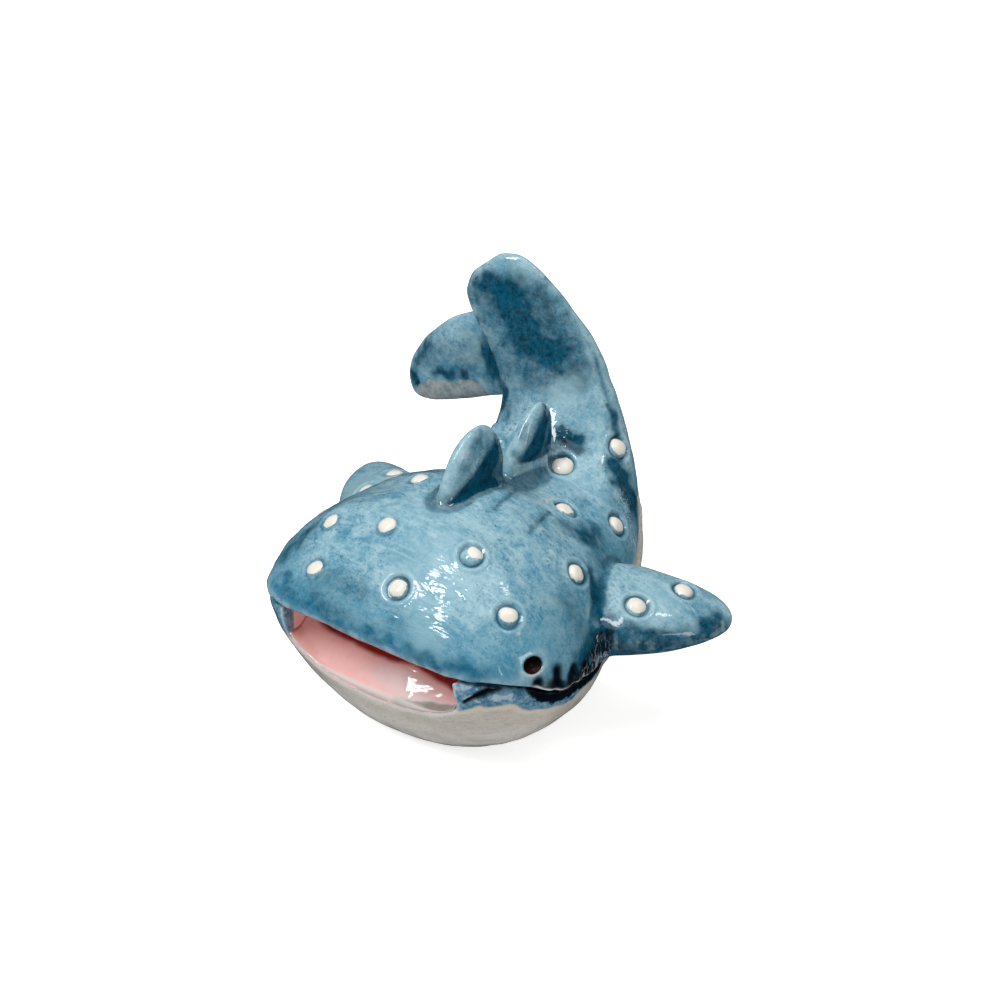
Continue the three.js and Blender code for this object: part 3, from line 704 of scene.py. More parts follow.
def put_from_skin(node, name):
    """Cut a piece out of the body's skin: the faces that have most corners next to its CAD node."""
    points, faces, normals, paints, names, owner = body_skin()
    held = np.array([(owner[faces] == number).sum(1) for number in range(len(names))])
    mine = held.argmax(0) == names.index(node)
    used, local = np.unique(faces[mine], return_inverse=True)
    all_points, all_faces = closed(points[used], local.reshape(-1, 4))
    extra = len(all_points) - len(used)
    all_normals = np.concatenate([normals[used], np.tile((0.0, 0.0, 1.0), (extra, 1))])
    all_paints = {title: np.concatenate([values[used], np.zeros(extra)]) for title, values in paints.items()}
    return put(name, all_points, all_faces, [node], back_paint(), all_normals, all_paints)


# Paint

def start_material(name):
    made = bpy.data.materials.new(name)
    made.use_nodes = True
    return made, made.node_tree, made.node_tree.nodes["Principled BSDF"]


def wire(tree, node, sockets):
    """Set sockets of a node to values, or link them to the sockets of others."""
    for name, value in sockets.items():
        if isinstance(value, bpy.types.NodeSocket):
            tree.links.new(value, node.inputs[name])
        else:
            node.inputs[name].default_value = value


def add(tree, kind, sockets=None, **settings):
    """A new node with its settings and its sockets."""
    made = tree.nodes.new("ShaderNode" + kind)
    for name, value in settings.items():
        setattr(made, name, value)
    wire(tree, made, sockets or {})
    return made


def noise(tree, scale, detail, roughness, distortion=0.0, stretch=(1, 1, 1), turn=(0, 0, 0)):
    """Random patches, about 1 / scale metres wide."""
    place = add(tree, "TexCoord").outputs["Object"]
    mapping = add(tree, "Mapping", {"Vector": place, "Scale": stretch, "Rotation": turn})
    made = add(tree, "TexNoise", {
        "Vector": mapping.outputs["Vector"], "Scale": scale, "Detail": detail, "Roughness": roughness,
        "Distortion": distortion})
    return made.outputs["Fac"]


def painted(tree, title):
    """A paint mask stored on the piece."""
    return add(tree, "Attribute", attribute_name=title).outputs["Fac"]


def levels(tree, value, low, high, start=0.0, end=1.0):
    """A soft step between two levels."""
    sockets = {"Value": value, "From Min": low, "From Max": high, "To Min": start, "To Max": end}
    return add(tree, "MapRange", sockets, interpolation_type="SMOOTHSTEP").outputs["Result"]


def patches(tree, low, high, *grain):
    """Random patches with soft edges, as what of a noise lies above two levels."""
    return levels(tree, noise(tree, *grain), low, high)


def sums(tree, kind, first, second, third=None):
    """Two or three values put together."""
    sockets = {i: value for i, value in enumerate((first, second, third)) if value is not None}
    return add(tree, "Math", sockets, operation=kind, use_clamp=kind in ("ADD", "MULTIPLY")).outputs["Value"]


def mix(tree, share, first, second):
    """One colour over another, where share is how much of the second."""
    made = tree.nodes.new("ShaderNodeMix")
    made.data_type = "RGBA"
    sockets = {s.identifier: s for s in made.inputs}
    tree.links.new(share, sockets["Factor_Float"])
    for name, value in (("A_Color", first), ("B_Color", second)):
        if isinstance(value, bpy.types.NodeSocket):
            tree.links.new(value, sockets[name])
        else:
            sockets[name].default_value = (*value, 1)
    return next(s for s in made.outputs if s.identifier == "Result_Color")


def layered(tree, colour, layers):
    """Colours laid one over another: each has a mask or its name, how much of it goes on, and a colour."""
    for mask, amount, new in layers:
        share = painted(tree, mask) if isinstance(mask, str) else mask
        if amount != 1:
            share = sums(tree, "MULTIPLY", share, amount)
        colour = mix(tree, share, colour, new)
    return colour


def bump(tree, height, depth, before=None, share=1):
    """Small waves in the surface, with a depth in metres, where share says how much of it."""
    made = add(tree, "Bump", {"Strength": share, "Distance": depth, "Height": height})
    if before is not None:
        tree.links.new(before, made.inputs["Normal"])
    return made.outputs["Normal"]


def lacquer(tree, shader, colour, ripple, brush=None, marks=(1250, 0.00021)):
    """Paint under clear gloss lacquer, with ripples in it and brush marks where it was put on thick."""
    gloss = bpy.context.scene.shark_paint.gloss
    wire(tree, shader, {"Base Color": colour, "Roughness": 0.42, "Specular IOR Level": 0})
    wire(tree, shader, {"Coat Weight": 0.9, "Coat Roughness": gloss, "Coat IOR": 1.5})
    surface = bump(tree, noise(tree, 620, 2, 0.5, 0.8), ripple)
    surface = bump(tree, noise(tree, 1900, 3, 0.55, 0.4), ripple * 0.22, surface)
    if brush:
        scale, depth = marks
        swirls = noise(tree, scale, 2, 0.5, 0.5, (0.3, 1, 1), (0.1, 0.2, 0.25))
        surface = bump(tree, swirls, depth, surface, painted(tree, brush))
    wire(tree, shader, {"Normal": surface, "Coat Normal": surface})


def hair_lines(tree, scale, stretch, turn):
    """Thin wandering lines."""
    field = noise(tree, scale, 3, 0.5, 0.6, stretch, turn)
    return sums(tree, "SUBTRACT", levels(tree, field, 0.455, 0.49), levels(tree, field, 0.51, 0.545))


def gathered(tree, mask, grain, least=0.93):
    """A soft mask that spreads with the grain, and thins to the least in a fine grain of its own."""
    spread = sums(tree, "MULTIPLY", mask, sums(tree, "MULTIPLY_ADD", grain, 1.2, 0.4))
    thick = levels(tree, noise(tree, 2400, 5, 0.72, 0.4), 0.4, 0.6, least, 1.0)
    return sums(tree, "MULTIPLY", levels(tree, spread, 0.0, 0.66), thick)


def broken(tree, mask, grain):
    """A mask that breaks up into islands of the grain."""
    total = sums(tree, "MULTIPLY_ADD", grain, 1.8, mask)
    return levels(tree, total, 1.2, 1.65)


def blue_wash(tree):
    """The mottled steel blue under pale and dark washes, with streaks, specks and pores."""
    paint = bpy.context.scene.shark_paint
    pore = patches(tree, 0.57, 0.63, 3100, 4, 0.65, 0.3, (0.55, 1, 1), (0.3, 0.2, 0.7))
    pores = sums(tree, "MULTIPLY", pore, patches(tree, 0.44, 0.6, 330, 3, 0.6, 0.5))
    streaks = patches(tree, 0.48, 0.66, 1700, 4, 0.6, 0.5, (0.2, 1, 0.6), (0.2, 0.3, 0.6))
    return layered(tree, paint.back_mid, (
        (patches(tree, 0.37, 0.63, 230, 4, 0.6, 0.6), 1, paint.back_light),
        (patches(tree, 0.4, 0.64, 820, 6, 0.7, 0.7), 0.4, paint.back_light),
        (patches(tree, 0.44, 0.66, 430, 8, 0.72, 0.8), 0.65, linear(58, 132, 163)),
        (patches(tree, 0.46, 0.6, 2000, 5, 0.75, 0.6), 0.42, linear(52, 126, 156)),
        (streaks, 0.42, linear(184, 211, 219)),
        (patches(tree, 0.5, 0.68, 4300, 2, 0.7), 0.28, linear(196, 221, 227)),
        (patches(tree, 0.67, 0.74, 2600, 2, 0.5), 0.6, paint.back_dark),
        (pores, 0.6, linear(14, 92, 118)),
    ))


def back_paint():
    if "back" in _made:
        return _made["back"]
    made, tree, shader = start_material("painted_back")
    paint = bpy.context.scene.shark_paint
    grain = noise(tree, 1000, 8, 0.75, 0.4)

    def times(title, other):
        return sums(tree, "MULTIPLY", painted(tree, title), other)

    def soft(title, least=0.93):
        return gathered(tree, painted(tree, title), grain, least)

    # Dark blue for the wash and for the painted shade
    dark = mix(tree, patches(tree, 0.36, 0.64, 1150, 9, 0.8, 0.7), linear(0, 48, 64), linear(0, 86, 116))
    greys = mix(tree, levels(tree, grain, 0.4, 0.65), linear(182, 182, 180), linear(128, 136, 140))
    hairs = hair_lines(tree, 2600, (1, 1, 0.12), (0.35, 0.3, 0.1))
    colour = layered(tree, blue_wash(tree), (
        (gathered(tree, times("lower", 0.6), noise(tree, 520, 6, 0.7, 0.6)), 0.55, linear(50, 130, 160)),
        (soft("teal", 0.7), 0.9, linear(18, 106, 140)),
        # Paler on ridges: a painted highlight
        ("ridge", 0.3, paint.back_light),
        # Pale wash, with painted light on lit tops and painted sheen
        (soft("pale"), 0.55, paint.back_light),
        # Dark blue wash and painted shade
        (soft("wash"), 1, dark),
        (soft("shaded", 0.96), 1, dark),
        # Darker in hollows: dark wash and painted shade
        (soft("hollow"), 0.6, dark),
        # A painted highlight on keen edges
        (times("keen", patches(tree, 0.42, 0.6, 900, 4, 0.6)), 0.4, linear(184, 211, 219)),
        # Dark paint gathered in the creases, with painted shade
        (times("crease", levels(tree, grain, 0.35, 0.6)), 0.7, paint.back_dark),
        # Painted shade in the rings round the spots
        (times("ring", levels(tree, noise(tree, 800, 3, 0.5), 0.25, 0.6, 0.5, 1)), 0.85, paint.back_dark),
        ("grey", 0.9, greys),
        ("pink", 1, linear(214, 128, 120)),
        # Dark paint and painted shade above the seam behind the gills
        (broken(tree, painted(tree, "edge"), grain), 1, linear(2, 14, 22)),
        # Black paint and painted shade behind the gills
        (soft("soot", 0.85), 0.96, linear(0, 20, 30)),
        ("gill", 1, linear(0, 12, 24)),
        # A painted highlight along the seam
        ("line", 0.95, linear(232, 236, 238)),
        (times("hairs", hairs), 0.5, linear(226, 232, 234)),
        # A painted highlight on the lower rim of each eye pit
        ("rim", 0.6, linear(206, 208, 200)),
        ("pit", 1, paint.eye),
    ))
    lacquer(tree, shader, colour, 0.00003, "brush")
    _made["back"] = made
    return made


def belly_paint():
    made, tree, shader = start_material("painted_belly")
    paint = bpy.context.scene.shark_paint
    grain = noise(tree, 1500, 7, 0.78, 0.3)
    band = layered(tree, blue_wash(tree), (
        (levels(tree, grain, 0.4, 0.62, 0.25, 0.85), 1, linear(20, 92, 134)),
        # Pale paint and painted highlights on the jaw's blue band
        (broken(tree, painted(tree, "pale_marks_and_highlights"), grain), 0.75, linear(190, 210, 226)),
    ))
    colour = layered(tree, paint.belly, (
        (patches(tree, 0.3, 0.7, 300, 4, 0.6, 0.5), 0.5, linear(196, 190, 178)),
        (patches(tree, 0.4, 0.7, 1400, 5, 0.65, 0.4, (0.5, 0.5, 3.0)), 0.5, linear(170, 165, 156)),
        # Paler towards the bottom: painted light bounced up from the floor
        ("low", 0.85, linear(250, 249, 245)),
        (patches(tree, 0.52, 0.68, 3200, 4, 0.75), 0.4, linear(132, 128, 118)),
        ("border", 0.7, linear(226, 216, 196)),
        ("band", 1, band),
        (broken(tree, painted(tree, "shade"), grain), 1, linear(2, 14, 24)),
        # A painted highlight on the edge of the lower lip
        ("lip", 0.6, linear(216, 222, 226)),
        ("gill", 0.95, linear(2, 14, 26)),
        ("fold", 1, linear(4, 8, 12)),
        ("pink", 1, paint.mouth),
    ))
    lacquer(tree, shader, colour, 0.00003)
    return made


def mouth_paint():
    made, tree, shader = start_material("painted_mouth")
    paint = bpy.context.scene.shark_paint
    cloud = patches(tree, 0.35, 0.7, 420, 4, 0.6, 0.5)
    # A painted reflection of the sky on the pink floor
    sky_reflection = gathered(tree, painted(tree, "sky_reflection"), noise(tree, 900, 5, 0.7, 0.5))
    colour = layered(tree, paint.mouth, (
        (cloud, 0.5, linear(246, 188, 182)),
        (patches(tree, 0.64, 0.76, 2200, 3, 0.6), 0.25, linear(190, 150, 150)),
        (sky_reflection, 0.75, linear(236, 224, 224)),
        # Dark red paint and painted shadow under the upper lip
        ("deep", 1, linear(140, 34, 28)),
        ("sill", 1, mix(tree, cloud, linear(176, 172, 165), linear(150, 150, 147))),
        # A painted highlight along the lower lip edge of the lining
        ("lip", 0.7, linear(236, 232, 230)),
    ))
    lacquer(tree, shader, colour, 0.00002, "brush", (1500, 0.00013))
    return made


def spot_paint():
    made, tree, shader = start_material("painted_spot")
    paint = bpy.context.scene.shark_paint
    fray = levels(tree, noise(tree, 1700, 3, 0.6), 0.3, 0.7, -0.22, 0.22)
    edge = sums(tree, "ADD", painted(tree, "edge"), fray)
    colour = layered(tree, paint.spot, (
        (patches(tree, 0.3, 0.7, 1300, 3, 0.6, 0.4), 0.35, linear(228, 216, 196)),
        (levels(tree, edge, 0.4, 0.6), 1, blue_wash(tree)),
    ))
    lacquer(tree, shader, colour, 0.00001)
    return made


def eye_paint():
    made, tree, shader = start_material("painted_eye")
    paint = bpy.context.scene.shark_paint
    # Painted light: brown on the lower wall of the pit
    lit_lower_wall = sums(tree, "MULTIPLY", painted(tree, "low"), patches(tree, 0.35, 0.75, 1500, 3, 0.6))
    lacquer(tree, shader, mix(tree, lit_lower_wall, paint.eye, linear(66, 14, 10)), 0.000006)
    wire(tree, shader, {"Coat Weight": 0.08, "Specular IOR Level": 0.1})
    return made


# One operator for each piece or group of like pieces, and one for the stage

class MakeBack(bpy.types.Operator):
    """Make the back of the body with its head and tail stalk."""

    bl_idname = "shark.make_back"
    bl_label = "Back"

    def execute(self, context):
        put_from_skin("back_casting", "back")
        return {"FINISHED"}


class MakeTail(bpy.types.Operator):
    """Make the tail fin with its two lobes."""

    bl_idname = "shark.make_tail"
    bl_label = "Tail fin"

    def execute(self, context):
        put_from_skin("tail_fin", "tail")
        return {"FINISHED"}


class MakeFins(bpy.types.Operator):
    """Make the two back fins and the two side fins."""

    bl_idname = "shark.make_fins"
    bl_label = "Back and side fins"

    def execute(self, context):
        for node, name in zip(FINS, ("back_fin_front", "back_fin_rear", "side_fin_left", "side_fin_right")):
            put_from_skin(node, name)
        return {"FINISHED"}


class MakeBelly(bpy.types.Operator):
    """Make the belly and lower jaw."""

    bl_idname = "shark.make_belly"
    bl_label = "Belly"

    # The grid is this much coarser than that of the body's skin
    COARSER = 1.1

    # Rounds of smoothing along the edges next to the back and the mouth
    EDGE_ROUNDS = 12

    def execute(self, context):
        sizes = context.scene.shark_sizes
        grid = sizes.grid * MM * self.COARSER
        points, faces = fused([node_shape("belly_casting")], grid)
        net = Net(faces, len(points))
        rim = distance(node_tree("back_casting"), points, NODE_REACH)
        lining = distance(node_tree("mouth_lining"), points, NODE_REACH)
        edge = bell(np.minimum(rim, lining), 0.5)[:, None]
        smooth = net.softened(points, rounds(sizes.soften, grid))
        points = smooth * (1 - edge) + edge * net.softened(points, self.EDGE_ROUNDS)
        normals = normals_of(points, faces)
        swell = waves(points, 7.0, 21) + 0.3 * waves(points, 2.4, 22)
        fold = from_line(points, FOLD_LINE)
        strokes = from_gills(points)
        lift = sizes.unevenness * MM * swell * (1 - edge[:, 0]) - 0.2 * bell(fold, 0.25)
        points = points + lift[:, None] * normals
        points[:, 2] = np.maximum(points[:, 2], 0)
        x, y, z = points.T
        bearing = np.degrees(np.arctan2(abs(x), -y))
        band_edge = np.interp(bearing, BAND_BEARING, BAND_HEIGHT) + 0.12 * waves(points, 1.6, 23)
        ahead = step(bearing, 29, 31.5)
        corner = step(-x, 8.7, 9.0) * step(-y, 15.4, 15.7) * step(z, 10.0, 10.6) * (lining < 1.5)
        band = np.maximum(step(z - band_edge, -0.15, 0.15) * ahead, corner)
        # Black paint and painted shade on the band just below the back's edge, behind the gills
        soot = 1.3 * band * step(bearing, 49, 57) * bell(rim, 1.3, 4)
        frayed = ragged(points, 0.22, 0.8, 24)
        # Pale paint and painted highlights on the jaw's blue band
        marks = np.maximum.reduce([bell(from_line(frayed, line), reach) for line, reach in JAW_PALE_MARKS_AND_HIGHLIGHTS])
        paints = {
            # Paler towards the bottom: painted light bounced up from the floor
            "low": 1 - step(z, 1.0, 8.5),
            # A painted highlight on the edge of the lower lip
            "lip": bell(lining - 0.62, 0.2) * step(-y, 13, 14),
            "band": band,
            "border": bell(z - band_edge + 0.45, 0.35) * ahead * step(70 - bearing, 0, 20),
            "shade": np.maximum(soot, 0.12 * corner),
            "pale_marks_and_highlights": band * marks,
            "fold": bell(fold, 0.28 + 0.26 * step(x, 11.5, 12.8), 4),
            "gill": bell(strokes, 0.5, 4),
            "pink": (1 - step(lining, 0.34, 0.42)) * (1 - corner),
        }
        put("belly", points, faces, ["belly_casting"], belly_paint(), None, paints)
        return {"FINISHED"}


class MakeMouth(bpy.types.Operator):
    """Make the lining of the mouth."""

    bl_idname = "shark.make_mouth"
    bl_label = "Mouth lining"

    # Points from side to side and from front to back
    ROWS = 121
    COLUMNS = 41

    # How far the floor reaches past the CAD lining, to the sides and to the back
    PAST_SIDES = 0.26
    PAST_BACK = 0.2

    # Slope of the floor from the lower lip to the back, how it falls off to the sides, and its greatest height
    RISE = 0.78
    CROWN = 0.008
    HIGHEST = 13.0

    # A swelling in the floor: its place, height and spread
    SWELLING = (3.3, -14.0)
    SWELLING_HEIGHT = 0.48
    SWELLING_SPREAD = 4.0

    # Edge of the dark red paint and painted shadow under the upper lip, from side to side
    LIP_ACROSS = (-9.0, -8.0, -3.5, 0.6, 4.5, 7.4, 9.0)
    LIP_BACK = (-13.1, -13.15, -13.65, -13.8, -13.65, -13.65, -13.85)

    # Back edge of the grey sill along the front, from side to side
    SILL_ACROSS = (1.5, 2.5, 3.7, 4.6, 5.6, 6.4, 7.4, 8.3)
    SILL_BACK = (-16.6, -16.35, -16.1, -15.95, -15.65, -15.35, -15.05, -14.8)

    def floor_height(self, x, y, low, rim):
        """Height of the floor at a place, running out into the rim of the jaw."""
        floor = self.RISE * (y - low[1]) + low[2] - 0.1 - self.CROWN * (x - 1.5) ** 2
        floor += 1.3 * max(0, (low[0] + 2.4 - x) / 2.4) ** 2.2
        away = (x - self.SWELLING[0]) ** 2 + (y - self.SWELLING[1]) ** 2
        floor += self.SWELLING_HEIGHT * math.exp(-away / self.SWELLING_SPREAD)
        least = rim + 0.05
        over = floor - least
        return min(least + 0.5 * (over + math.sqrt(over * over + 0.12)), self.HIGHEST)

    def execute(self, context):
        jaw = node_tree("belly_casting")
        low, high = (np.array(corner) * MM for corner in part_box("mouth_lining"))
        across = np.linspace(low[0] - self.PAST_SIDES, high[0] + self.PAST_SIDES, self.ROWS)
        share = np.linspace(0, 1, self.COLUMNS)
        top, bottom = [], []
        for x in across.tolist():
            rim = jaw.ray_cast(Vector((x, low[1] + 2.5, 12.4)), Vector((0, 0, -1)))[0].z
            front = jaw.ray_cast(Vector((x, -30, rim - 0.12)), Vector((0, 1, 0)))[0].y + 0.12
            back = high[1] + self.PAST_BACK
            for part in share.tolist():
                y = front + part * (back - front)
                top.append((x, y, self.floor_height(x, y, low, rim)))
                bottom.append((x, y, rim + 0.01))
        rows, columns = self.ROWS, self.COLUMNS
        points = np.array(top + bottom)
        under = rows * columns
        faces = []
        for i in range(rows - 1):
            for j in range(columns - 1):
                a = i * columns + j
                quad = (a, a + columns, a + columns + 1, a + 1)
                faces.append(quad)
                faces.append(tuple(under + k for k in quad[::-1]))
        edge = [i * columns for i in range(rows)] + [(rows - 1) * columns + j for j in range(1, columns)]
        edge += [i * columns + columns - 1 for i in range(rows - 2, -1, -1)] + list(range(columns - 2, 0, -1))
        for here, there in zip(edge, edge[1:] + edge[:1]):
            faces.append((there, here, under + here, under + there))
        points[:under, 2] += 0.03 * waves(points[:under], 3.0, 31) + 0.012 * waves(points[:under], 0.9, 32)
        x, y, _ = points.T
        under_lip = np.interp(x, self.LIP_ACROSS, self.LIP_BACK) + 0.04 * waves(points, 1.5, 33)
        sill = np.interp(x, self.SILL_ACROSS, self.SILL_BACK) + 0.05 * waves(points, 1.0, 34) - y
        from_front = np.tile(share, 2 * rows)
        paints = {
            # Dark red paint and painted shadow under the upper lip
            "deep": step(y - under_lip, -0.3, 0.12),
            # A painted reflection of the sky on the pink floor
            "sky_reflection": blob(points, (3.4, -14.9, 9.7), (4.2, 1.2, 1.6)),
            # A painted highlight along the lower lip edge and the sill
            "lip": np.maximum(1 - step(from_front, 0.005, 0.04), bell(sill, 0.14)),
            "sill": step(sill, -0.1, 0.1),
            "brush": blob(points, (4.0, -14.1, 10.2), (2.6, 1.4, 2.0)),
        }
        put("mouth", points, faces, ["mouth_lining"], mouth_paint(), None, paints)
        return {"FINISHED"}


class MakeSpots(bpy.types.Operator):
    """Make the cream beads set into the back and the side fins."""

    bl_idname = "shark.make_spots"
    bl_label = "Spots"

    # Points round a bead and rings from its top down, and how deep its foot and its bottom lie
    AROUND = 48
    RINGS = 16
    FOOT = 0.55
    BOTTOM = 0.6

    def cream_shift(self, name, across, up, random):
        """Which way the cream lies off the middle of a bead."""
        upward = np.array([across[2], up[2]]) * 0.15 + random.normal(0, 0.07, 2)
        if name in FAR_SPOTS:
            return 0.75 * np.array([across @ FAR_WAY, up @ FAR_WAY])
        return np.array(WORN_SHIFT) if name == WORN_SPOT else upward

    def execute(self, context):
        sizes = context.scene.shark_sizes
        radius, rise = sizes.bead_radius * MM, sizes.bead_rise * MM
        paint = spot_paint()
        around, rings = self.AROUND, self.RINGS
        angle = np.arange(around) * 2 * math.pi / around
        for number, name in enumerate(SPOTS):
            place, out = plug_place(name)
            across, up = sides_of(out)
            random = np.random.default_rng(500 + number)
            phase = random.uniform(0, 2 * math.pi, 3)
            size = random.uniform(0.94, 1.03) * (1.14 if name == FULL_SPOT else 1)
            shift = self.cream_shift(name, across, up, random)
            wobble = 1 + sum(0.025 * np.cos(k * angle + p) for k, p in zip((2, 3, 4), phase))
            flat = np.cos(angle)[:, None] * across + np.sin(angle)[:, None] * up
            points, edge = [place + rise * out], [np.hypot(*shift) / radius]
            for row in range(1, rings + 1):
                slant = row / rings * math.pi / 2
                reach = math.sin(slant) * radius * size * wobble
                height = rise - (rise + self.FOOT) * (1 - math.cos(slant)) ** 1.15
                points += list(place + reach[:, None] * flat + height * out)
                off = np.hypot(reach * np.cos(angle) - shift[0], reach * np.sin(angle) - shift[1])
                edge += list(off / radius)
            points.append(place - self.BOTTOM * out)
            edge.append(1.2)
            faces = []
            last = 1 + (rings - 1) * around
            for i in range(around):
                j = (i + 1) % around
                faces.append((0, 1 + i, 1 + j))
                for a in range(1, last, around):
                    faces.append((a + i, a + around + i, a + around + j, a + j))
                faces.append((last + j, last + i, len(points) - 1))
            more = {WORN_SPOT: 0.12, FULL_SPOT: -0.3}.get(name, 0)
            edge = step(np.array(edge) + more, 0.67, 1.03)
            put(f"spot_{number + 1:02d}", points, faces, [name], paint, None, {"edge": edge})
        return {"FINISHED"}


class MakeEyes(bpy.types.Operator):
    """Make the black dished eyes."""

    bl_idname = "shark.make_eyes"
    bl_label = "Eyes"

    # Depths below the skin: of the dish in its middle, how much it comes up to its rim, and of the bottom
    DISH = 0.5
    DISH_RISE = 0.42
    BOTTOM = 0.8

    def execute(self, context):
        radius = context.scene.shark_sizes.eye_radius * MM
        paint = eye_paint()
        dish = [(radius * max(s, 0.02), self.DISH_RISE * s ** 2.2 - self.DISH) for s in np.linspace(0, 1, 12)]
        for name, title in zip(EYES, ("left_eye", "right_eye")):
            place, out = plug_place(name)
            points, faces = turned([(radius, -self.BOTTOM)] + dish[::-1], place, out, 40)
            local = points - place
            for way, stretch in zip(sides_of(out), EYE_STRETCH):
                points = points + np.outer((stretch - 1) * (local @ way), way)
            # Where the painted light lies: the lower part of the eye
            low = step(place[2] - points[:, 2], 0.0, 0.7)
            put(title, points, faces, [name], paint, None, {"low": low})
        return {"FINISHED"}


def facing(place, aim):
    """The turn of a lamp or camera at a place that looks at another."""
    return (Vector(aim) - Vector(place)).to_track_quat("-Z", "Y").to_euler()


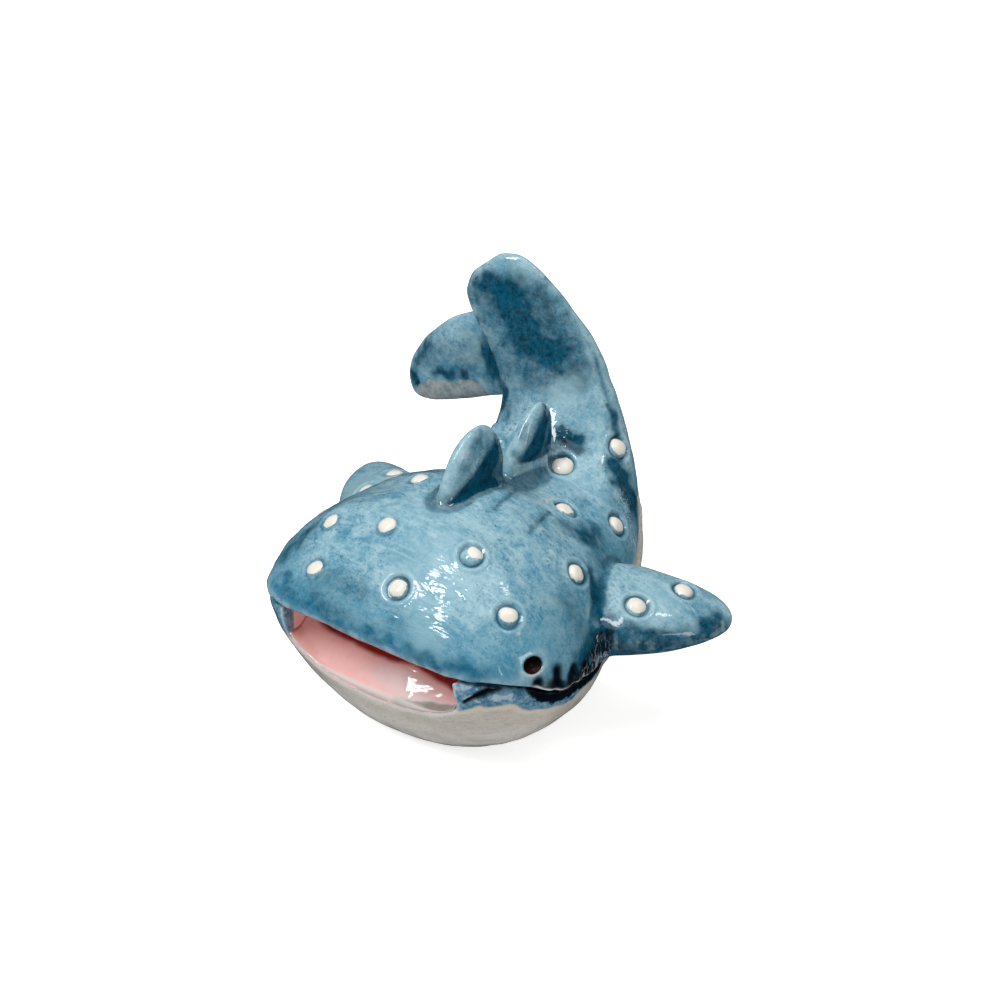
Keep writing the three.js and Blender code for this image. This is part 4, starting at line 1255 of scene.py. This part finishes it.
class MakeStage(bpy.types.Operator):
    """Set the floor, the lamps, the room light and the camera."""

    bl_idname = "shark.make_stage"
    bl_label = "Stage"

    # How far the floor lies below the belly, and how dark it is in the lacquer
    FLOOR_DROP = 0.00002
    FLOOR_MIRRORED = (0.02, 0.02, 0.02)

    # Where the floor starts to get white and where it is all white, from the middle
    WHITE_FROM = 0.06
    WHITE_TO = 0.4

    # How much of the room light the lacquer doesn't show
    SKY_UNSEEN = 0.8

    LAMP_AIM = (0, -0.004, 0.014)
    CAMERA_PLACE = (0.1961, -0.2512, 0.2214)
    CAMERA_AIM = (-0.000113, 0.00386, 0.01909)

    def make_floor(self, scene):
        settings = scene.stage_settings
        mesh = bpy.data.meshes.new("Floor")
        corner = ((-1, -1), (1, -1), (1, 1), (-1, 1))
        mesh.from_pydata([(x, y, -self.FLOOR_DROP) for x, y in corner], [], [(0, 1, 2, 3)])
        floor = bpy.data.objects.new("Floor", mesh)
        scene.collection.objects.link(floor)
        made, tree, shader = start_material("floor")
        seen = add(tree, "LightPath").outputs
        shown = mix(tree, seen["Is Glossy Ray"], settings.floor, self.FLOOR_MIRRORED)
        wire(tree, shader, {"Base Color": shown, "Roughness": 0.9, "Specular IOR Level": 0})
        place = add(tree, "TexCoord").outputs["Object"]
        away = add(tree, "VectorMath", {0: place}, operation="LENGTH").outputs["Value"]
        white = levels(tree, away, self.WHITE_FROM, self.WHITE_TO, settings.floor_lift, 1.0)
        lift = add(tree, "Emission", {"Strength": sums(tree, "MULTIPLY", seen["Is Camera Ray"], white)})
        both = add(tree, "AddShader", {0: shader.outputs["BSDF"], 1: lift.outputs["Emission"]})
        wire(tree, tree.nodes["Material Output"], {"Surface": both.outputs["Shader"]})
        mesh.materials.append(made)
        floor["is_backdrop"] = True

    def make_lamps(self, scene):
        settings = scene.stage_settings
        for name, place, size, power in (
                ("Main lamp", (-0.07, -0.2, 0.335), (0.066, 0.21), settings.key),
                ("Top lamp", (0.02, 0.02, 0.45), (0.4, 0.4), settings.top),
                ("Side lamp", (0.175, 0.083, 0.385), (0.03, 0.12), settings.side),
                ("Window", (0.38, -0.01, 0.13), (0.05, 0.14), settings.window)):
            data = bpy.data.lights.new(name, "AREA")
            data.shape = "RECTANGLE"
            data.size, data.size_y = size
            data.energy = power
            made = bpy.data.objects.new(name, data)
            made.location = place
            made.rotation_euler = facing(place, self.LAMP_AIM)
            scene.collection.objects.link(made)

    def make_room(self, scene):
        sky = scene.stage_settings.sky
        room = bpy.data.worlds.new("Room")
        room.use_nodes = True
        scene.world = room
        tree = room.node_tree
        path = add(tree, "LightPath").outputs
        less = sums(tree, "MULTIPLY", path["Is Glossy Ray"], self.SKY_UNSEEN * sky)
        even = tree.nodes["Background"]
        wire(tree, even, {"Color": (1, 1, 1, 1), "Strength": sums(tree, "SUBTRACT", sky, less)})
        behind = add(tree, "Background", {"Color": (1, 1, 1, 1), "Strength": 1})
        either = add(tree, "MixShader", {
            0: path["Is Camera Ray"], 1: even.outputs["Background"], 2: behind.outputs["Background"]})
        wire(tree, tree.nodes["World Output"], {"Surface": either.outputs["Shader"]})

    def make_camera(self, scene):
        data = bpy.data.cameras.new("Camera")
        data.lens = 143.64
        data.sensor_width = 36
        data.clip_start = 0.01
        camera = bpy.data.objects.new("Camera", data)
        camera.location = self.CAMERA_PLACE
        camera.rotation_euler = facing(self.CAMERA_PLACE, self.CAMERA_AIM)
        scene.collection.objects.link(camera)
        scene.camera = camera

    def execute(self, context):
        scene = context.scene
        self.make_floor(scene)
        self.make_lamps(scene)
        self.make_room(scene)
        self.make_camera(scene)
        scene.view_settings.view_transform = "Standard"
        return {"FINISHED"}


class OrnamentPanel(bpy.types.Panel):
    """Lists the pieces of the ornament and the settings that change them."""

    bl_idname = "VIEW3D_PT_whale_shark"
    bl_label = "Whale shark ornament"
    bl_space_type = "VIEW_3D"
    bl_region_type = "UI"
    bl_category = "Ornament"

    def draw(self, context):
        for operator in OPERATORS:
            self.layout.operator(operator.bl_idname)
        for settings in (context.scene.shark_sizes, context.scene.shark_paint, context.scene.stage_settings):
            for name in settings.bl_rna.properties.keys():
                if name not in ("rna_type", "name"):
                    self.layout.prop(settings, name)


OPERATORS = (MakeBack, MakeTail, MakeFins, MakeBelly, MakeMouth, MakeSpots, MakeEyes, MakeStage)
CLASSES = (SharkSizes, SharkPaint, StageSettings) + OPERATORS + (OrnamentPanel,)


def register():
    for cls in CLASSES:
        bpy.utils.register_class(cls)
    bpy.types.Scene.shark_sizes = bpy.props.PointerProperty(type=SharkSizes)
    bpy.types.Scene.shark_paint = bpy.props.PointerProperty(type=SharkPaint)
    bpy.types.Scene.stage_settings = bpy.props.PointerProperty(type=StageSettings)


def unregister():
    del bpy.types.Scene.stage_settings
    del bpy.types.Scene.shark_paint
    del bpy.types.Scene.shark_sizes
    for cls in reversed(CLASSES):
        bpy.utils.unregister_class(cls)


def corners():
    low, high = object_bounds()
    return [list(low), list(high)]


def main():
    register()
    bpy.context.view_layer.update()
    bpy.ops.shark.make_back()
    bpy.ops.shark.make_tail()
    bpy.ops.shark.make_fins()
    bpy.ops.shark.make_belly()
    bpy.ops.shark.make_mouth()
    bpy.ops.shark.make_spots()
    bpy.ops.shark.make_eyes()
    bpy.ops.shark.make_stage()


if __name__ == "__main__":
    main()
